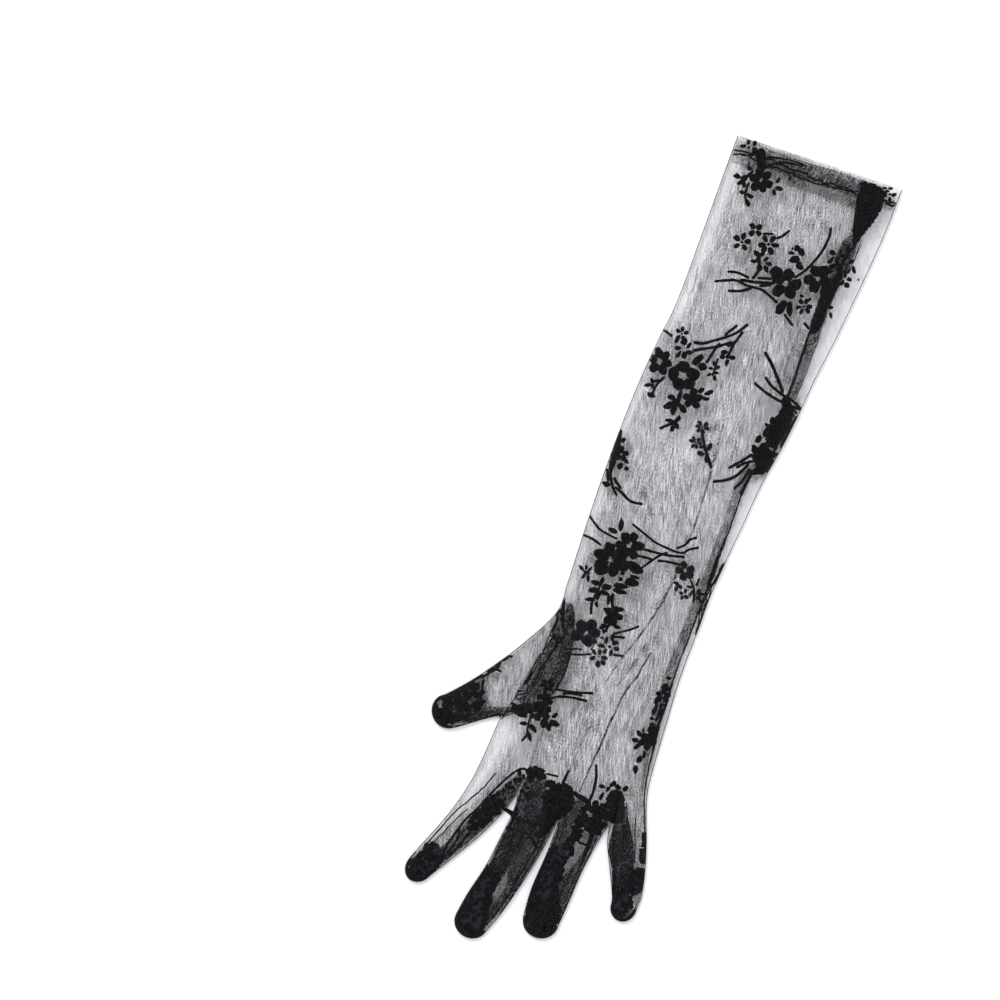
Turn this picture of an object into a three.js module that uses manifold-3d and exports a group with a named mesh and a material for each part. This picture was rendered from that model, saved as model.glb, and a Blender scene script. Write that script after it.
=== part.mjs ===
// A sheer opera-length dress glove of fine black tulle with flocked flower sprigs, laid flat with its palm up.
// Millimetres, +Z up. It lies on z = 0, with its fingers towards -Y, its open arm end towards +Y and its thumb
// towards -X. The origin is the middle of the glove's bounding box, on the surface that it lies on.
import * as THREE from "three";
import { mergeVertices } from "three/addons/utils/BufferGeometryUtils.js";
import Module from "manifold-3d";

// Cloth
const WALL = 1; // the net with the air that its crinkle holds, as thick as a laid glove feels
const EDGE_RADIUS = 2; // half the height of the fold along each side
const FINEST_EDGE = 0.2; // the tightest a fold gets on its inside
const GAP = 0.3; // between pieces that touch on the real glove
const HEM_DEPTH = 15;
const HEM_WALL = 0.8;
const SEAM_WALL = 0.8;
const SEAM_LOW = 2.8; // height that parts the palm layer, with the seam's edges, from the back layer
const FOURCHETTE_LIP = 4.5; // how far the strip between two fingers shows on each of them

// How finely the round shapes are cut
const EDGE_STEPS = 3;
const ARCH_SHARES = [-0.93, -0.8, -0.6, -0.3, 0, 0.3, 0.6, 0.8, 0.93]; // of half the width, across the crown
const TIP_STEPS = 3;
const TIP_TURN = THREE.MathUtils.degToRad(72); // how far round a fingertip closes before its flat end
const TIP_ROUNDNESS = 0.8; // below 1, a fingertip stays wide for longer and then closes bluntly
const TIP_END_HEIGHT = 0.35; // of the finger's height, at the very end of a tip
const SAME_POINT = 1e-4; // points nearer than this are one point
const MIN_ROW_STEP = 1; // between a table's row and the last ring of a loft

const FINGER_HEIGHT = 9;
const FINGER_CROWN = 3; // how flat a finger's crown is, counted as in the next table
const ARM_END = 228; // the hem's edge
const PAST_END = 5; // how far a cut runs on past the face that it opens
const ABOVE_ALL = 30; // a height above the whole laid glove
const BELOW_ALL = -5;

// The arm and palm, from the hem to the roots of the fingers: the two side folds, the height between them and
// how flat the crown is (2 is a plain arch, and more is flatter).
const ARM_AND_PALM = [
  { y: ARM_END, left: -29, right: 67.5, height: 12.5, crown: 5 },
  { y: 200, left: -29.5, right: 66, height: 12.5, crown: 5 },
  { y: 170, left: -30, right: 63.5, height: 12.5, crown: 5 },
  { y: 140, left: -30.5, right: 60, height: 12.2, crown: 5 },
  { y: 110, left: -33.5, right: 55.5, height: 12, crown: 5 },
  { y: 80, left: -36.5, right: 51.5, height: 11.8, crown: 5 },
  { y: 50, left: -38, right: 47, height: 11.5, crown: 5 },
  { y: 20, left: -38.5, right: 43.5, height: 11.2, crown: 5 },
  { y: -10, left: -38.3, right: 40.7, height: 11, crown: 5 },
  { y: -40, left: -37.7, right: 39.4, height: 11, crown: 5 },
  { y: -70, left: -38.3, right: 39, height: 11, crown: 5.5 },
  { y: -95, left: -41.5, right: 39.7, height: 11, crown: 5.5 },
  { y: -115, left: -46.5, right: 41.2, height: 11, crown: 5.5 },
  { y: -135, left: -49.5, right: 42.7, height: 10.5, crown: 6 },
  { y: -150, left: -51.3, right: 45.8, height: 9.5, crown: 6 },
  { y: -158, left: -52.3, right: 48.3, height: 7.5, crown: 6 },
  { y: -162.5, left: -50, right: 47, height: 4.6, crown: 6 },
];

// Each digit from its root, inside the palm, to where its tip starts to close. heading is degrees from -Y
// towards the thumb's side, and tip is the length of the rounded end.
const DIGITS = {
  index: {
    tip: 11.5,
    rows: [
      { x: -36.5, y: -144, heading: 12, width: 25, height: 7.6 },
      { x: -41.3, y: -168, heading: 22, width: 24.6, height: FINGER_HEIGHT },
      { x: -48, y: -186, heading: 24, width: 21, height: FINGER_HEIGHT },
      { x: -56.5, y: -203, heading: 24, width: 17.8, height: FINGER_HEIGHT },
      { x: -63.2, y: -215.5, heading: 25, width: 15.2, height: FINGER_HEIGHT },
    ],
  },
  middle: {
    tip: 11,
    rows: [
      { x: -11.5, y: -144, heading: 4, width: 25, height: 8.4 },
      { x: -12.7, y: -172, heading: 6, width: 24.2, height: FINGER_HEIGHT },
      { x: -15.2, y: -190, heading: 8, width: 23.5, height: FINGER_HEIGHT },
      { x: -18.7, y: -208, heading: 12, width: 22, height: FINGER_HEIGHT },
      { x: -23.3, y: -225, heading: 14, width: 21.5, height: FINGER_HEIGHT },
      { x: -26.3, y: -235.5, heading: 15, width: 19.5, height: FINGER_HEIGHT },
    ],
  },
  ring: {
    tip: 12,
    rows: [
      { x: 13.5, y: -144, heading: 0, width: 25, height: 8.4 },
      { x: 13.2, y: -172, heading: 3, width: 24, height: FINGER_HEIGHT },
      { x: 11.4, y: -190, heading: 5, width: 21.8, height: FINGER_HEIGHT },
      { x: 10, y: -208, heading: 2, width: 22, height: FINGER_HEIGHT },
      { x: 9.7, y: -222, heading: -2, width: 20.3, height: FINGER_HEIGHT },
    ],
  },
  little: {
    tip: 10,
    rows: [
      { x: 33, y: -142, heading: -12, width: 18, height: 7 },
      { x: 41.3, y: -168, heading: -18, width: 21.5, height: FINGER_HEIGHT },
      { x: 46.5, y: -182, heading: -18, width: 19.3, height: FINGER_HEIGHT },
      { x: 50.2, y: -194, heading: -10, width: 16.6, height: FINGER_HEIGHT },
      { x: 51, y: -200, heading: -2, width: 14.5, height: FINGER_HEIGHT },
    ],
  },
};
const THUMB = {
  tip: 11,
  rows: [
    { x: -23.5, y: -86, heading: 90, width: 30, height: 9 },
    { x: -28, y: -86, heading: 87, width: 50, height: 11 },
    { x: -34.7, y: -89.4, heading: 78, width: 53, height: 12 },
    { x: -43, y: -99.7, heading: 70, width: 41, height: 11.2 },
    { x: -53.5, y: -108.4, heading: 63, width: 29, height: 10 },
    { x: -64.5, y: -118.7, heading: 60, width: 22.8, height: 9.5 },
    { x: -76, y: -129, heading: 59, width: 19.3, height: 9 },
  ],
};

// The seam that joins the thumb to the palm, from the wrist side round to the index finger's side: an oval in the
// palm layer, and along the fold in the back layer.
const THUMB_SEAM = [
  { x: -38.5, y: -49 },
  { x: -33, y: -50.5 },
  { x: -29, y: -56 },
  { x: -26, y: -66 },
  { x: -23.5, y: -78 },
  { x: -23, y: -88 },
  { x: -24.5, y: -97 },
  { x: -29, y: -108 },
  { x: -38, y: -118 },
  { x: -48.5, y: -125 },
];
const THUMB_SEAM_BACK = [
  { x: -38.5, y: -49 },
  { x: -38.5, y: -70 },
  { x: -42, y: -95 },
  { x: -47, y: -115 },
  { x: -48.8, y: -125 },
];
const THUMB_CLEAR = [
  { x: -60, y: -142 },
  { x: -100, y: -150 },
  { x: -100, y: -49 },
]; // round the thumb's free part, clear of it
const THUMB_PARTING = 2; // height that parts the palm layer from the back layer at the thumb

// Where two fingers part, and the strip of net that lines both of them there.
const FORKS = [
  {
    name: "fourchette_index_middle",
    first: DIGITS.index,
    second: DIGITS.middle,
    x: -26,
    y: -161,
  },
  {
    name: "fourchette_middle_ring",
    first: DIGITS.middle,
    second: DIGITS.ring,
    x: 0.4,
    y: -163,
  },
  {
    name: "fourchette_ring_little",
    first: DIGITS.ring,
    second: DIGITS.little,
    x: 28.4,
    y: -161,
  },
];
const FORK_TURNS = [150, 120, 90, 60, 30]; // degrees, round the strip's end in the palm
const FORK_REACH = 1.2; // how far past a fingertip's side the strip is cut
const FINGER_ROOT = -160; // y where the fingers part from the palm
const FINGER_CLEAR = 0.6; // round a finger, clear of it and of the next one
const TIP_CLEAR = 4; // past the end of a finger

// The raw edges inside the side seam, from the hem down to the little finger's root.
const SIDE_SEAM = [
  { y: 212, left: 46, right: 57.5 },
  { y: 195, left: 48.5, right: 55.5 },
  { y: 170, left: 44.5, right: 51 },
  { y: 138, left: 43.5, right: 50 },
  { y: 100, left: 43.5, right: 49.5 },
  { y: 75, left: 39, right: 46 },
  { y: 45, left: 32.5, right: 38.5 },
  { y: 0, left: 33, right: 38 },
  { y: -40, left: 31, right: 37 },
  { y: -75, left: 30, right: 36 },
  { y: -105, left: 31.5, right: 36.5 },
  { y: -136, left: 35, right: 39.8 },
];

const wasm = await Module();
wasm.setup();

// A closed three.js geometry as a manifold-3d solid, and back.
function solidOf(geometry) {
  const bare = geometry.index ? geometry.toNonIndexed() : geometry.clone();
  for (const name of Object.keys(bare.attributes)) {
    if (name !== "position") bare.deleteAttribute(name);
  }
  const merged = mergeVertices(bare, SAME_POINT);
  return new wasm.Manifold(
    new wasm.Mesh({
      numProp: 3,
      vertProperties: new Float32Array(merged.attributes.position.array),
      triVerts: new Uint32Array(merged.index.array),
    }),
  );
}

function geometryOf(solid) {
  const mesh = solid.getMesh();
  const points = new Float32Array(mesh.numVert * 3);
  for (let i = 0; i < mesh.numVert; i++) {
    for (let k = 0; k < 3; k++)
      points[3 * i + k] = mesh.vertProperties[mesh.numProp * i + k];
  }
  return new THREE.BufferGeometry()
    .setAttribute("position", new THREE.BufferAttribute(points, 3))
    .setIndex(new THREE.BufferAttribute(mesh.triVerts, 1));
}

// The section of a laid tube of cloth, as [across, up] pairs: flat below, a fold at each side, arched above.
// inset is how far inside the outer face it runs.
function laidSection(width, height, inset, crown) {
  const edge = Math.max(Math.min(EDGE_RADIUS, height / 2) - inset, FINEST_EDGE);
  const half = width / 2 - inset;
  const middle = edge + inset;
  const points = [];
  for (let i = 0; i <= EDGE_STEPS; i++) {
    const turn = (-Math.PI * i) / EDGE_STEPS - Math.PI / 2;
    points.push([
      -half + edge + edge * Math.cos(turn),
      middle + edge * Math.sin(turn),
    ]);
  }
  const rise = height - 2 * (edge + inset);
  for (const share of ARCH_SHARES) {
    points.push([
      (half - edge) * share,
      middle + edge + rise * (1 - Math.abs(share) ** crown),
    ]);
  }
  for (let i = 0; i <= EDGE_STEPS; i++) {
    const turn = Math.PI / 2 - (Math.PI * i) / EDGE_STEPS;
    points.push([
      half - edge + edge * Math.cos(turn),
      middle + edge * Math.sin(turn),
    ]);
  }
  return points;
}

// A closed solid through rings of the same number of points, with flat ends.
function loft(rings) {
  const count = rings[0].length;
  const index = [];
  for (let r = 0; r + 1 < rings.length; r++) {
    for (let i = 0; i < count; i++) {
      const j = (i + 1) % count;
      const [a, b] = [r * count + i, r * count + j];
      index.push(a, a + count, b, b, a + count, b + count);
    }
  }
  const last = (rings.length - 1) * count;
  for (let i = 1; i + 1 < count; i++) {
    index.push(0, i, i + 1, last, last + i + 1, last + i);
  }
  const points = rings.flat(2);
  const geometry = new THREE.BufferGeometry()
    .setAttribute("position", new THREE.Float32BufferAttribute(points, 3))
    .setIndex(index);
  return solidOf(geometry);
}

// A value of a table at y, on a smooth curve through its rows, which run down from the arm's end.
function valueAt(rows, y, key) {
  let i = rows.findIndex((row) => row.y <= y);
  if (i === 0) return rows[0][key];
  if (i < 0) i = rows.length - 1;
  const at = (n) => rows[THREE.MathUtils.clamp(n, 0, rows.length - 1)];
  const [a, b, c, d] = [at(i - 2), at(i - 1), at(i), at(i + 1)];
  const slope = (p, q) => (p.y === q.y ? 0 : (q[key] - p[key]) / (q.y - p.y));
  const t = (y - b.y) / (c.y - b.y);
  const [m0, m1] = [
    slope(a, c) * (c.y - b.y),
    slope(b, d) * (c.y - b.y),
  ];
  const [t2, t3] = [t * t, t * t * t];
  return (
    (2 * t3 - 3 * t2 + 1) * b[key] +
    (t3 - 2 * t2 + t) * m0 +
    (3 * t2 - 2 * t3) * c[key] +
    (t3 - t2) * m1
  );
}

function sleeveAt(y) {
  const inside = Math.max(y, ARM_AND_PALM.at(-1).y);
  const keys = ["left", "right", "height", "crown"];
  return Object.fromEntries(
    keys.map((key) => [key, valueAt(ARM_AND_PALM, inside, key)]),
  );
}

// The arm and palm as one solid, from one y to another. past carries its arm end on beyond the hem.
function armAndPalm(inset, { from = ARM_END, to = null, past = 0 } = {}) {
  const low = to ?? ARM_AND_PALM.at(-1).y + inset;
  const stations = ARM_AND_PALM.slice(0, -1).map((row) => row.y);
  const between = stations.filter((y) => y < from && y > low + MIN_ROW_STEP);
  const ys = [from, ...between, low];
  const rings = ys.map((y) => {
    const { left, right, height, crown } = sleeveAt(y);
    const middle = (left + right) / 2;
    return laidSection(right - left, height, inset, crown).map(([a, z]) => [
      middle + a,
      y,
      z,
    ]);
  });
  if (past > 0) rings.unshift(rings[0].map(([x, y, z]) => [x, y + past, z]));
  return loft(rings);
}

// The point and the two directions in plan of a digit's row.
function placeOf(row) {
  const turn = THREE.MathUtils.degToRad(row.heading);
  return {
    along: new THREE.Vector2(-Math.sin(turn), -Math.cos(turn)),
    across: new THREE.Vector2(Math.cos(turn), -Math.sin(turn)),
    centre: new THREE.Vector2(row.x, row.y),
  };
}

// A finger or the thumb as a solid, from its root to its rounded tip.
function digit({ rows, tip }, inset) {
  const stations = rows.map((row) => ({ row, ahead: 0, share: 1 }));
  for (let i = 1; i <= TIP_STEPS; i++) {
    const turn = (TIP_TURN * i) / TIP_STEPS;
    const ahead = ((tip - inset) * Math.sin(turn)) / Math.sin(TIP_TURN);
    const share = Math.cos(turn) ** TIP_ROUNDNESS;
    stations.push({ row: rows.at(-1), ahead, share });
  }
  const rings = stations.map(({ row, ahead, share }) => {
    const { along, across, centre } = placeOf(row);
    const width = (row.width - 2 * inset) * share + 2 * inset;
    const height = row.height * THREE.MathUtils.lerp(TIP_END_HEIGHT, 1, share);
    return laidSection(width, height, inset, FINGER_CROWN).map(([a, z]) => [
      centre.x + along.x * ahead + across.x * a,
      centre.y + along.y * ahead + across.y * a,
      z,
    ]);
  });
  return loft(rings);
}

// An upright prism over a plan outline of Vector2 points, clear of the glove above and, if need be, below.
function prism(outline, bottom = BELOW_ALL) {
  const shape = new THREE.Shape(outline);
  const geometry = new THREE.ExtrudeGeometry(shape, {
    depth: ABOVE_ALL - bottom,
    bevelEnabled: false,
  });
  return solidOf(geometry.translate(0, 0, bottom));
}

// An outline moved outwards by the same distance all round.
function grown(outline, by) {
  const side = THREE.ShapeUtils.isClockWise(outline) ? -1 : 1;
  const outward = (from, to) =>
    new THREE.Vector2(to.y - from.y, from.x - to.x)
      .normalize()
      .multiplyScalar(side);
  return outline.map((point, i) => {
    const before = outward(outline.at(i - 1), point);
    const after = outward(point, outline[(i + 1) % outline.length]);
    const middle = before.clone().add(after).normalize();
    return point.clone().addScaledVector(middle, by / middle.dot(after));
  });
}

// The plan outline of the strip between two fingers: up one finger, round the fork and down the next.
function forkOutline({ first, second, x, y }) {
  const lip = FOURCHETTE_LIP;
  const seamLine = (rows, side) =>
    rows.slice(1).map((row, i, used) => {
      const { across, centre } = placeOf(row);
      const inward = row.width / 2 - (i === used.length - 1 ? lip / 2 : lip);
      return centre.addScaledVector(across, side * inward);
    });
  const beside = (row, side) => {
    const { across, centre } = placeOf(row);
    return centre.addScaledVector(across, side * (row.width / 2 + FORK_REACH));
  };
  const round = FORK_TURNS.map((degrees) => {
    const turn = THREE.MathUtils.degToRad(degrees);
    return new THREE.Vector2(
      x + lip * Math.cos(turn),
      y + lip * Math.sin(turn),
    );
  });
  return [
    beside(first.rows.at(-1), 1),
    ...seamLine(first.rows, 1).reverse(),
    ...round,
    ...seamLine(second.rows, -1),
    beside(second.rows.at(-1), -1),
  ];
}

// The plan outline round a finger, from its root to beyond its tip.
function fingerOutline({ rows, tip }) {
  const first = rows[1];
  const { along, centre } = placeOf(first);
  const root = centre.addScaledVector(along, (FINGER_ROOT - first.y) / along.y);
  const beyondRoot = [{ ...first, x: root.x, y: root.y }, ...rows.slice(1)];
  const last = rows.at(-1);
  const edge = (row, side, ahead = 0) => {
    const { along, across, centre } = placeOf(row);
    const half = row.width / 2 + FINGER_CLEAR;
    return centre.addScaledVector(across, side * half).addScaledVector(along, ahead);
  };
  return [
    ...beyondRoot.map((row) => edge(row, -1)),
    edge(last, -1, tip + TIP_CLEAR),
    edge(last, 1, tip + TIP_CLEAR),
    ...beyondRoot.map((row) => edge(row, 1)).reverse(),
  ];
}

const union = (solids) => solids.reduce((sum, next) => sum.add(next));
const digits = [...Object.values(DIGITS), THUMB];

// The whole laid glove as a skin with an open arm end.
const outer = union([armAndPalm(0), ...digits.map((one) => digit(one, 0))]);
const hollow = union([
  armAndPalm(WALL, { past: PAST_END }),
  ...digits.map((one) => digit(one, WALL)),
]);
const skin = outer.subtract(hollow);

// Its pieces are parted along their seams: the strips between the fingers, the thumb, and the rest, which is one
// piece of net folded round on the thumb's side and sewn up on the little finger's side. That piece is parted
// again across the root of each finger, where the real net runs through.
const onPlan = (rows) => rows.map(({ x, y }) => new THREE.Vector2(x, y));
const palmPart = onPlan([...THUMB_SEAM, ...THUMB_CLEAR]);
const backPart = onPlan([...THUMB_SEAM_BACK, ...THUMB_CLEAR]);
const thumbPart = (by) =>
  prism(grown(palmPart, by), THUMB_PARTING - by).add(
    prism(grown(backPart, by)),
  );
const thumb = skin.intersect(thumbPart(0));
const fourchettes = FORKS.map((fork) => [
  fork.name,
  skin.intersect(prism(forkOutline(fork))),
]);
const trank = FORKS.reduce(
  (rest, fork) => rest.subtract(prism(grown(forkOutline(fork), GAP))),
  skin.subtract(thumbPart(GAP)),
);
const fingers = Object.entries(DIGITS).map(([name, one]) => [
  `finger_${name}`,
  trank.intersect(prism(fingerOutline(one))),
]);
const body = Object.values(DIGITS).reduce(
  (rest, one) => rest.subtract(prism(grown(fingerOutline(one), GAP))),
  trank,
);

// The hem, turned in and stitched down inside the arm end.
const hemLow = ARM_END - HEM_DEPTH;
const hem = armAndPalm(WALL + GAP, { to: hemLow }).subtract(
  armAndPalm(WALL + GAP + HEM_WALL, {
    from: ARM_END + PAST_END,
    to: hemLow - PAST_END,
  }),
);

// The raw edges of the side seam, lying under the palm layer.
const seamOutline = [
  ...SIDE_SEAM.map(({ y, left }) => new THREE.Vector2(left, y)),
  ...SIDE_SEAM.map(({ y, right }) => new THREE.Vector2(right, y)).reverse(),
];
const seam = armAndPalm(WALL + GAP)
  .subtract(armAndPalm(WALL + GAP + SEAM_WALL, { past: PAST_END }))
  .intersect(prism(seamOutline, SEAM_LOW));

const tulle = new THREE.MeshStandardMaterial({
  color: 0x3a383c,
  roughness: 0.85,
  metalness: 0,
});
const doubledTulle = new THREE.MeshStandardMaterial({
  color: 0x242226,
  roughness: 0.85,
  metalness: 0,
});

const glove = new THREE.Group();
function addPiece(name, solid, material) {
  const mesh = new THREE.Mesh(geometryOf(solid), material);
  mesh.name = name;
  glove.add(mesh);
}

addPiece("glove_body", body, tulle);
for (const [name, solid] of fingers) addPiece(name, solid, tulle);
addPiece("thumb", thumb, tulle);
for (const [name, solid] of fourchettes) addPiece(name, solid, tulle);
addPiece("top_hem", hem, doubledTulle);
addPiece("side_seam", seam, doubledTulle);

const bounds = new THREE.Box3().setFromObject(glove);
const centre = bounds.getCenter(new THREE.Vector3());
glove.position.set(-centre.x, -centre.y, -bounds.min.z);

export default glove;
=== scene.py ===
"""The look of an opera-length dress glove of sheer black tulle with flocked sprigs, laid flat, palm up."""
import math

import bmesh
import bpy
import numpy as np
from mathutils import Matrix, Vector, geometry


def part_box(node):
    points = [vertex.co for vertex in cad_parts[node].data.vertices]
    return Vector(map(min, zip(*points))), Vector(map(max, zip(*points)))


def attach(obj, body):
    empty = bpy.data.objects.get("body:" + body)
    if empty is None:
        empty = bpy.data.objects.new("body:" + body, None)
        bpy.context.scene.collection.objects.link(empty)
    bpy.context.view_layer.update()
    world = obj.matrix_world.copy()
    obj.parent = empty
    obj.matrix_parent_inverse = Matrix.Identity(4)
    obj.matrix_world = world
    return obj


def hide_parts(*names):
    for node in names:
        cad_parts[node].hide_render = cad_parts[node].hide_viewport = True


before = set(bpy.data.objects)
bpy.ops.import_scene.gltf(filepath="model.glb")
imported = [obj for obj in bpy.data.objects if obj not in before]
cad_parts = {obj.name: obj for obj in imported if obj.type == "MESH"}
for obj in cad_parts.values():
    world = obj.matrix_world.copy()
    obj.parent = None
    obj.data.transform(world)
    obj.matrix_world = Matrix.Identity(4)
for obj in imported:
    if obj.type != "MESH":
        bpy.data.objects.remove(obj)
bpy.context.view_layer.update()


# Plan
# The glove's plan is in millimetres on a drawing of its own, whose two fixed lines are the hem's edge and
# the right-hand fold at the mouth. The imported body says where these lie, and so where the drawing's
# origin lies.
HEM_Y = 228.0
MOUTH_RIGHT = 67.5
_, TRANK_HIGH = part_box("glove_body")
ORIGIN = np.array([TRANK_HIGH[0] * 1000 - MOUTH_RIGHT, TRANK_HIGH[1] * 1000 - HEM_Y])


def metres(points):
    """Drawing millimetres, with a height as the third column, as the frame's metres."""
    points = np.asarray(points, float)
    return (points + [*ORIGIN, 0.0]) / 1000


# Camera
# It looks straight down, turned as the photograph is, so that the glove lies in the same place in the
# picture. PICTURE_WIDTH is what the picture shows, in metres, and PICTURE_MIDDLE is its middle on the
# drawing.
PICTURE_TURN = math.radians(19)
PICTURE_WIDTH = 0.56
PICTURE_MIDDLE = (-88.8, -8.7)
CAMERA_HEIGHT = 2.6
GLOVE_HALF_HEIGHT = 0.006
camera_data = bpy.data.cameras.new("camera")
camera_data.sensor_width = 36
camera_data.lens = camera_data.sensor_width * CAMERA_HEIGHT / PICTURE_WIDTH
camera = bpy.data.objects.new("camera", camera_data)
camera.location = (*metres([(*PICTURE_MIDDLE, 0)])[0][:2], CAMERA_HEIGHT + GLOVE_HALF_HEIGHT)
camera.rotation_euler = (0, 0, PICTURE_TURN)
bpy.context.scene.collection.objects.link(camera)
bpy.context.scene.camera = camera


# Materials
class Shade:
    """A value in a material's node tree, with Python's arithmetic."""

    def __init__(self, tree, socket):
        self.tree, self.socket = tree, socket

    def node(self, kind, inputs=(), out=0, **settings):
        """A new node of any kind, with values or other Shades on its inputs, as the Shade of one output."""
        made = self.tree.nodes.new(kind)
        for key, value in settings.items():
            setattr(made, key, value)
        for key, value in dict(inputs).items():
            if isinstance(value, Shade):
                self.tree.links.new(value.socket, made.inputs[key])
            else:
                made.inputs[key].default_value = value
        return Shade(self.tree, made.outputs[out])

    def maths(self, operation, *values):
        return self.node("ShaderNodeMath", enumerate(values), operation=operation)

    def vector(self, operation, *values, out=0):
        return self.node("ShaderNodeVectorMath", enumerate(values), out, operation=operation)

    def __add__(self, other): return self.maths("ADD", self, other)
    def __radd__(self, other): return self.maths("ADD", other, self)
    def __sub__(self, other): return self.maths("SUBTRACT", self, other)
    def __rsub__(self, other): return self.maths("SUBTRACT", other, self)
    def __mul__(self, other): return self.maths("MULTIPLY", self, other)
    def __rmul__(self, other): return self.maths("MULTIPLY", other, self)
    def __gt__(self, other): return self.maths("GREATER_THAN", self, other)

    def parts(self):
        split = self.node("ShaderNodeSeparateXYZ", {0: self})
        return [Shade(self.tree, s) for s in split.socket.node.outputs]


def new_material(name):
    """An empty material, its tree as a Shade to build from, and its output node."""
    material = bpy.data.materials.new(name)
    material.use_nodes = True
    tree = material.node_tree
    tree.nodes.clear()
    out = tree.nodes.new("ShaderNodeOutputMaterial")
    return material, Shade(tree, None), out


# Floor and light
# A sheet of white paper under an even white sky, and one large soft lamp from the picture's upper left.
FLOOR_REACH = 3.0
PAPER_WHITE = (0.93, 0.93, 0.93, 1)
ROSY_WHITE = (1.0, 0.973, 1.02)
SKY_STRENGTH = 1.04
LAMP_WATTS = 26
LAMP_PLACE = (-0.9, 0.9, 1.9)
floor_mesh = bpy.data.meshes.new("floor")
floor_corners = [(x * FLOOR_REACH, y * FLOOR_REACH, 0) for x, y in ((-1, -1), (1, -1), (1, 1), (-1, 1))]
floor_mesh.from_pydata(floor_corners, [], [(0, 1, 2, 3)])
paper, start, out = new_material("white_paper")
finish = start.node("ShaderNodeBsdfPrincipled", {"Base Color": PAPER_WHITE, "Roughness": 0.9,
                                                 "Specular IOR Level": 0.1})
out.id_data.links.new(finish.socket, out.inputs["Surface"])
floor_mesh.materials.append(paper)
floor = bpy.data.objects.new("floor", floor_mesh)
bpy.context.scene.collection.objects.link(floor)

world = bpy.data.worlds.new("studio")
world.use_nodes = True
world.node_tree.nodes["Background"].inputs["Color"].default_value = (*ROSY_WHITE, 1)
world.node_tree.nodes["Background"].inputs["Strength"].default_value = SKY_STRENGTH
bpy.context.scene.world = world
lamp_data = bpy.data.lights.new("key", "AREA")
lamp_data.energy = LAMP_WATTS
lamp_data.size = 1.0
lamp_data.color = ROSY_WHITE
lamp = bpy.data.objects.new("key", lamp_data)
lamp.location = LAMP_PLACE
lamp.rotation_euler = (-Vector(lamp.location)).to_track_quat("-Z", "Y").to_euler()
bpy.context.scene.collection.objects.link(lamp)
bpy.context.scene.view_settings.view_transform = "Standard"
bpy.context.scene.cycles.transparent_max_bounces = 96


# Outline
# The laid glove is drawn by its folds: the two sides of the sleeve and palm, from the hem down to the
# thumb's seam and the roots of the fingers, and then each digit.
LEFT_FOLD = [
    (-29, 228), (-29.5, 200), (-30, 170), (-30.5, 140), (-31.5, 122), (-33.5, 108), (-36.3, 80), (-37.8, 52),
    (-38.4, 20), (-38.2, -10), (-37.6, -40), (-38.0, -58),
]
LEFT_FOLD_BELOW_THUMB = [(-48.8, -126), (-50.3, -145)]
RIGHT_FOLD = [
    (43.3, -140), (41.2, -122), (39.9, -95), (39.0, -70), (39.8, -40), (40.2, -20), (42.5, 5), (44.2, 20),
    (47.0, 48), (51.2, 72), (54.2, 95), (56.0, 112), (60.0, 140), (63.6, 172), (66.3, 200), (67.5, 228),
]

# Each digit: the length of its rounded end, and x, y, heading (degrees from -Y towards the thumb's side)
# and width at its stations.
DIGITS = {
    "thumb": (11, [(-34.7, -89.4, 78, 53), (-43, -99.7, 70, 41), (-53.5, -108.4, 63, 29),
                   (-64.5, -118.7, 60, 22.8), (-76, -129, 59, 19.3)]),
    "index": (11.5, [(-41.3, -168, 22, 24.6), (-48, -186, 24, 21), (-56.5, -203, 24, 17.8),
                     (-63.2, -215.5, 25, 15.2)]),
    "middle": (11, [(-12.7, -172, 6, 24.2), (-15.2, -190, 8, 23.5), (-18.7, -208, 12, 22),
                    (-23.3, -225, 14, 21.5), (-26.3, -235.5, 15, 19.5)]),
    "ring": (12, [(13.2, -172, 3, 24), (11.4, -190, 5, 21.8), (10, -208, 2, 22), (9.7, -222, -2, 20.3)]),
    "little": (10, [(41.3, -168, -18, 21.5), (46.5, -182, -18, 19.3), (50.2, -194, -10, 16.6),
                    (51, -200, -2, 14.5)]),
}
FINGERS = ["index", "middle", "ring", "little"]
TIP_ROUNDNESS = 0.8  # below 1, a fingertip stays wide for longer and then closes bluntly
OUTLINE_STEP = 1.3
FORKS = {"index_middle": (-26, -161.5), "middle_ring": (0.4, -164), "ring_little": (28.4, -161.5)}


def beside(station, share):
    """The point beside a digit's station, at a share of its half width towards the little finger's side."""
    x, y, heading, width = station
    turn = math.radians(heading)
    return x + math.cos(turn) * share * width / 2, y - math.sin(turn) * share * width / 2


def round_tip(name, steps=7):
    """The end of a digit, from its thumb side round to its other side."""
    tip, stations = DIGITS[name]
    x, y, heading, width = stations[-1]
    turn = math.radians(heading)
    along = np.array([-math.sin(turn), -math.cos(turn)])
    across = np.array([math.cos(turn), -math.sin(turn)])
    angles = np.linspace(-math.pi / 2, math.pi / 2, steps + 2)[1:-1]
    return [tuple(np.array([x, y]) + along * tip * math.cos(a) ** TIP_ROUNDNESS
                  + across * width / 2 * math.sin(a))
            for a in angles]


def smooth(points, step):
    """Points every step or so on a smooth curve through the given ones."""
    p = np.array([points[0], *points, points[-1]], float)
    out = []
    for a, b, c, d in zip(p, p[1:], p[2:], p[3:]):
        n = max(1, round(np.linalg.norm(c - b) / step))
        for t in np.arange(n) / n:
            out.append(0.5 * (2 * b + (c - a) * t + (2 * a - 5 * b + 4 * c - d) * t ** 2
                              + (3 * b - a - 3 * c + d) * t ** 3))
    out.append(p[-1])
    return np.array(out)


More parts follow.
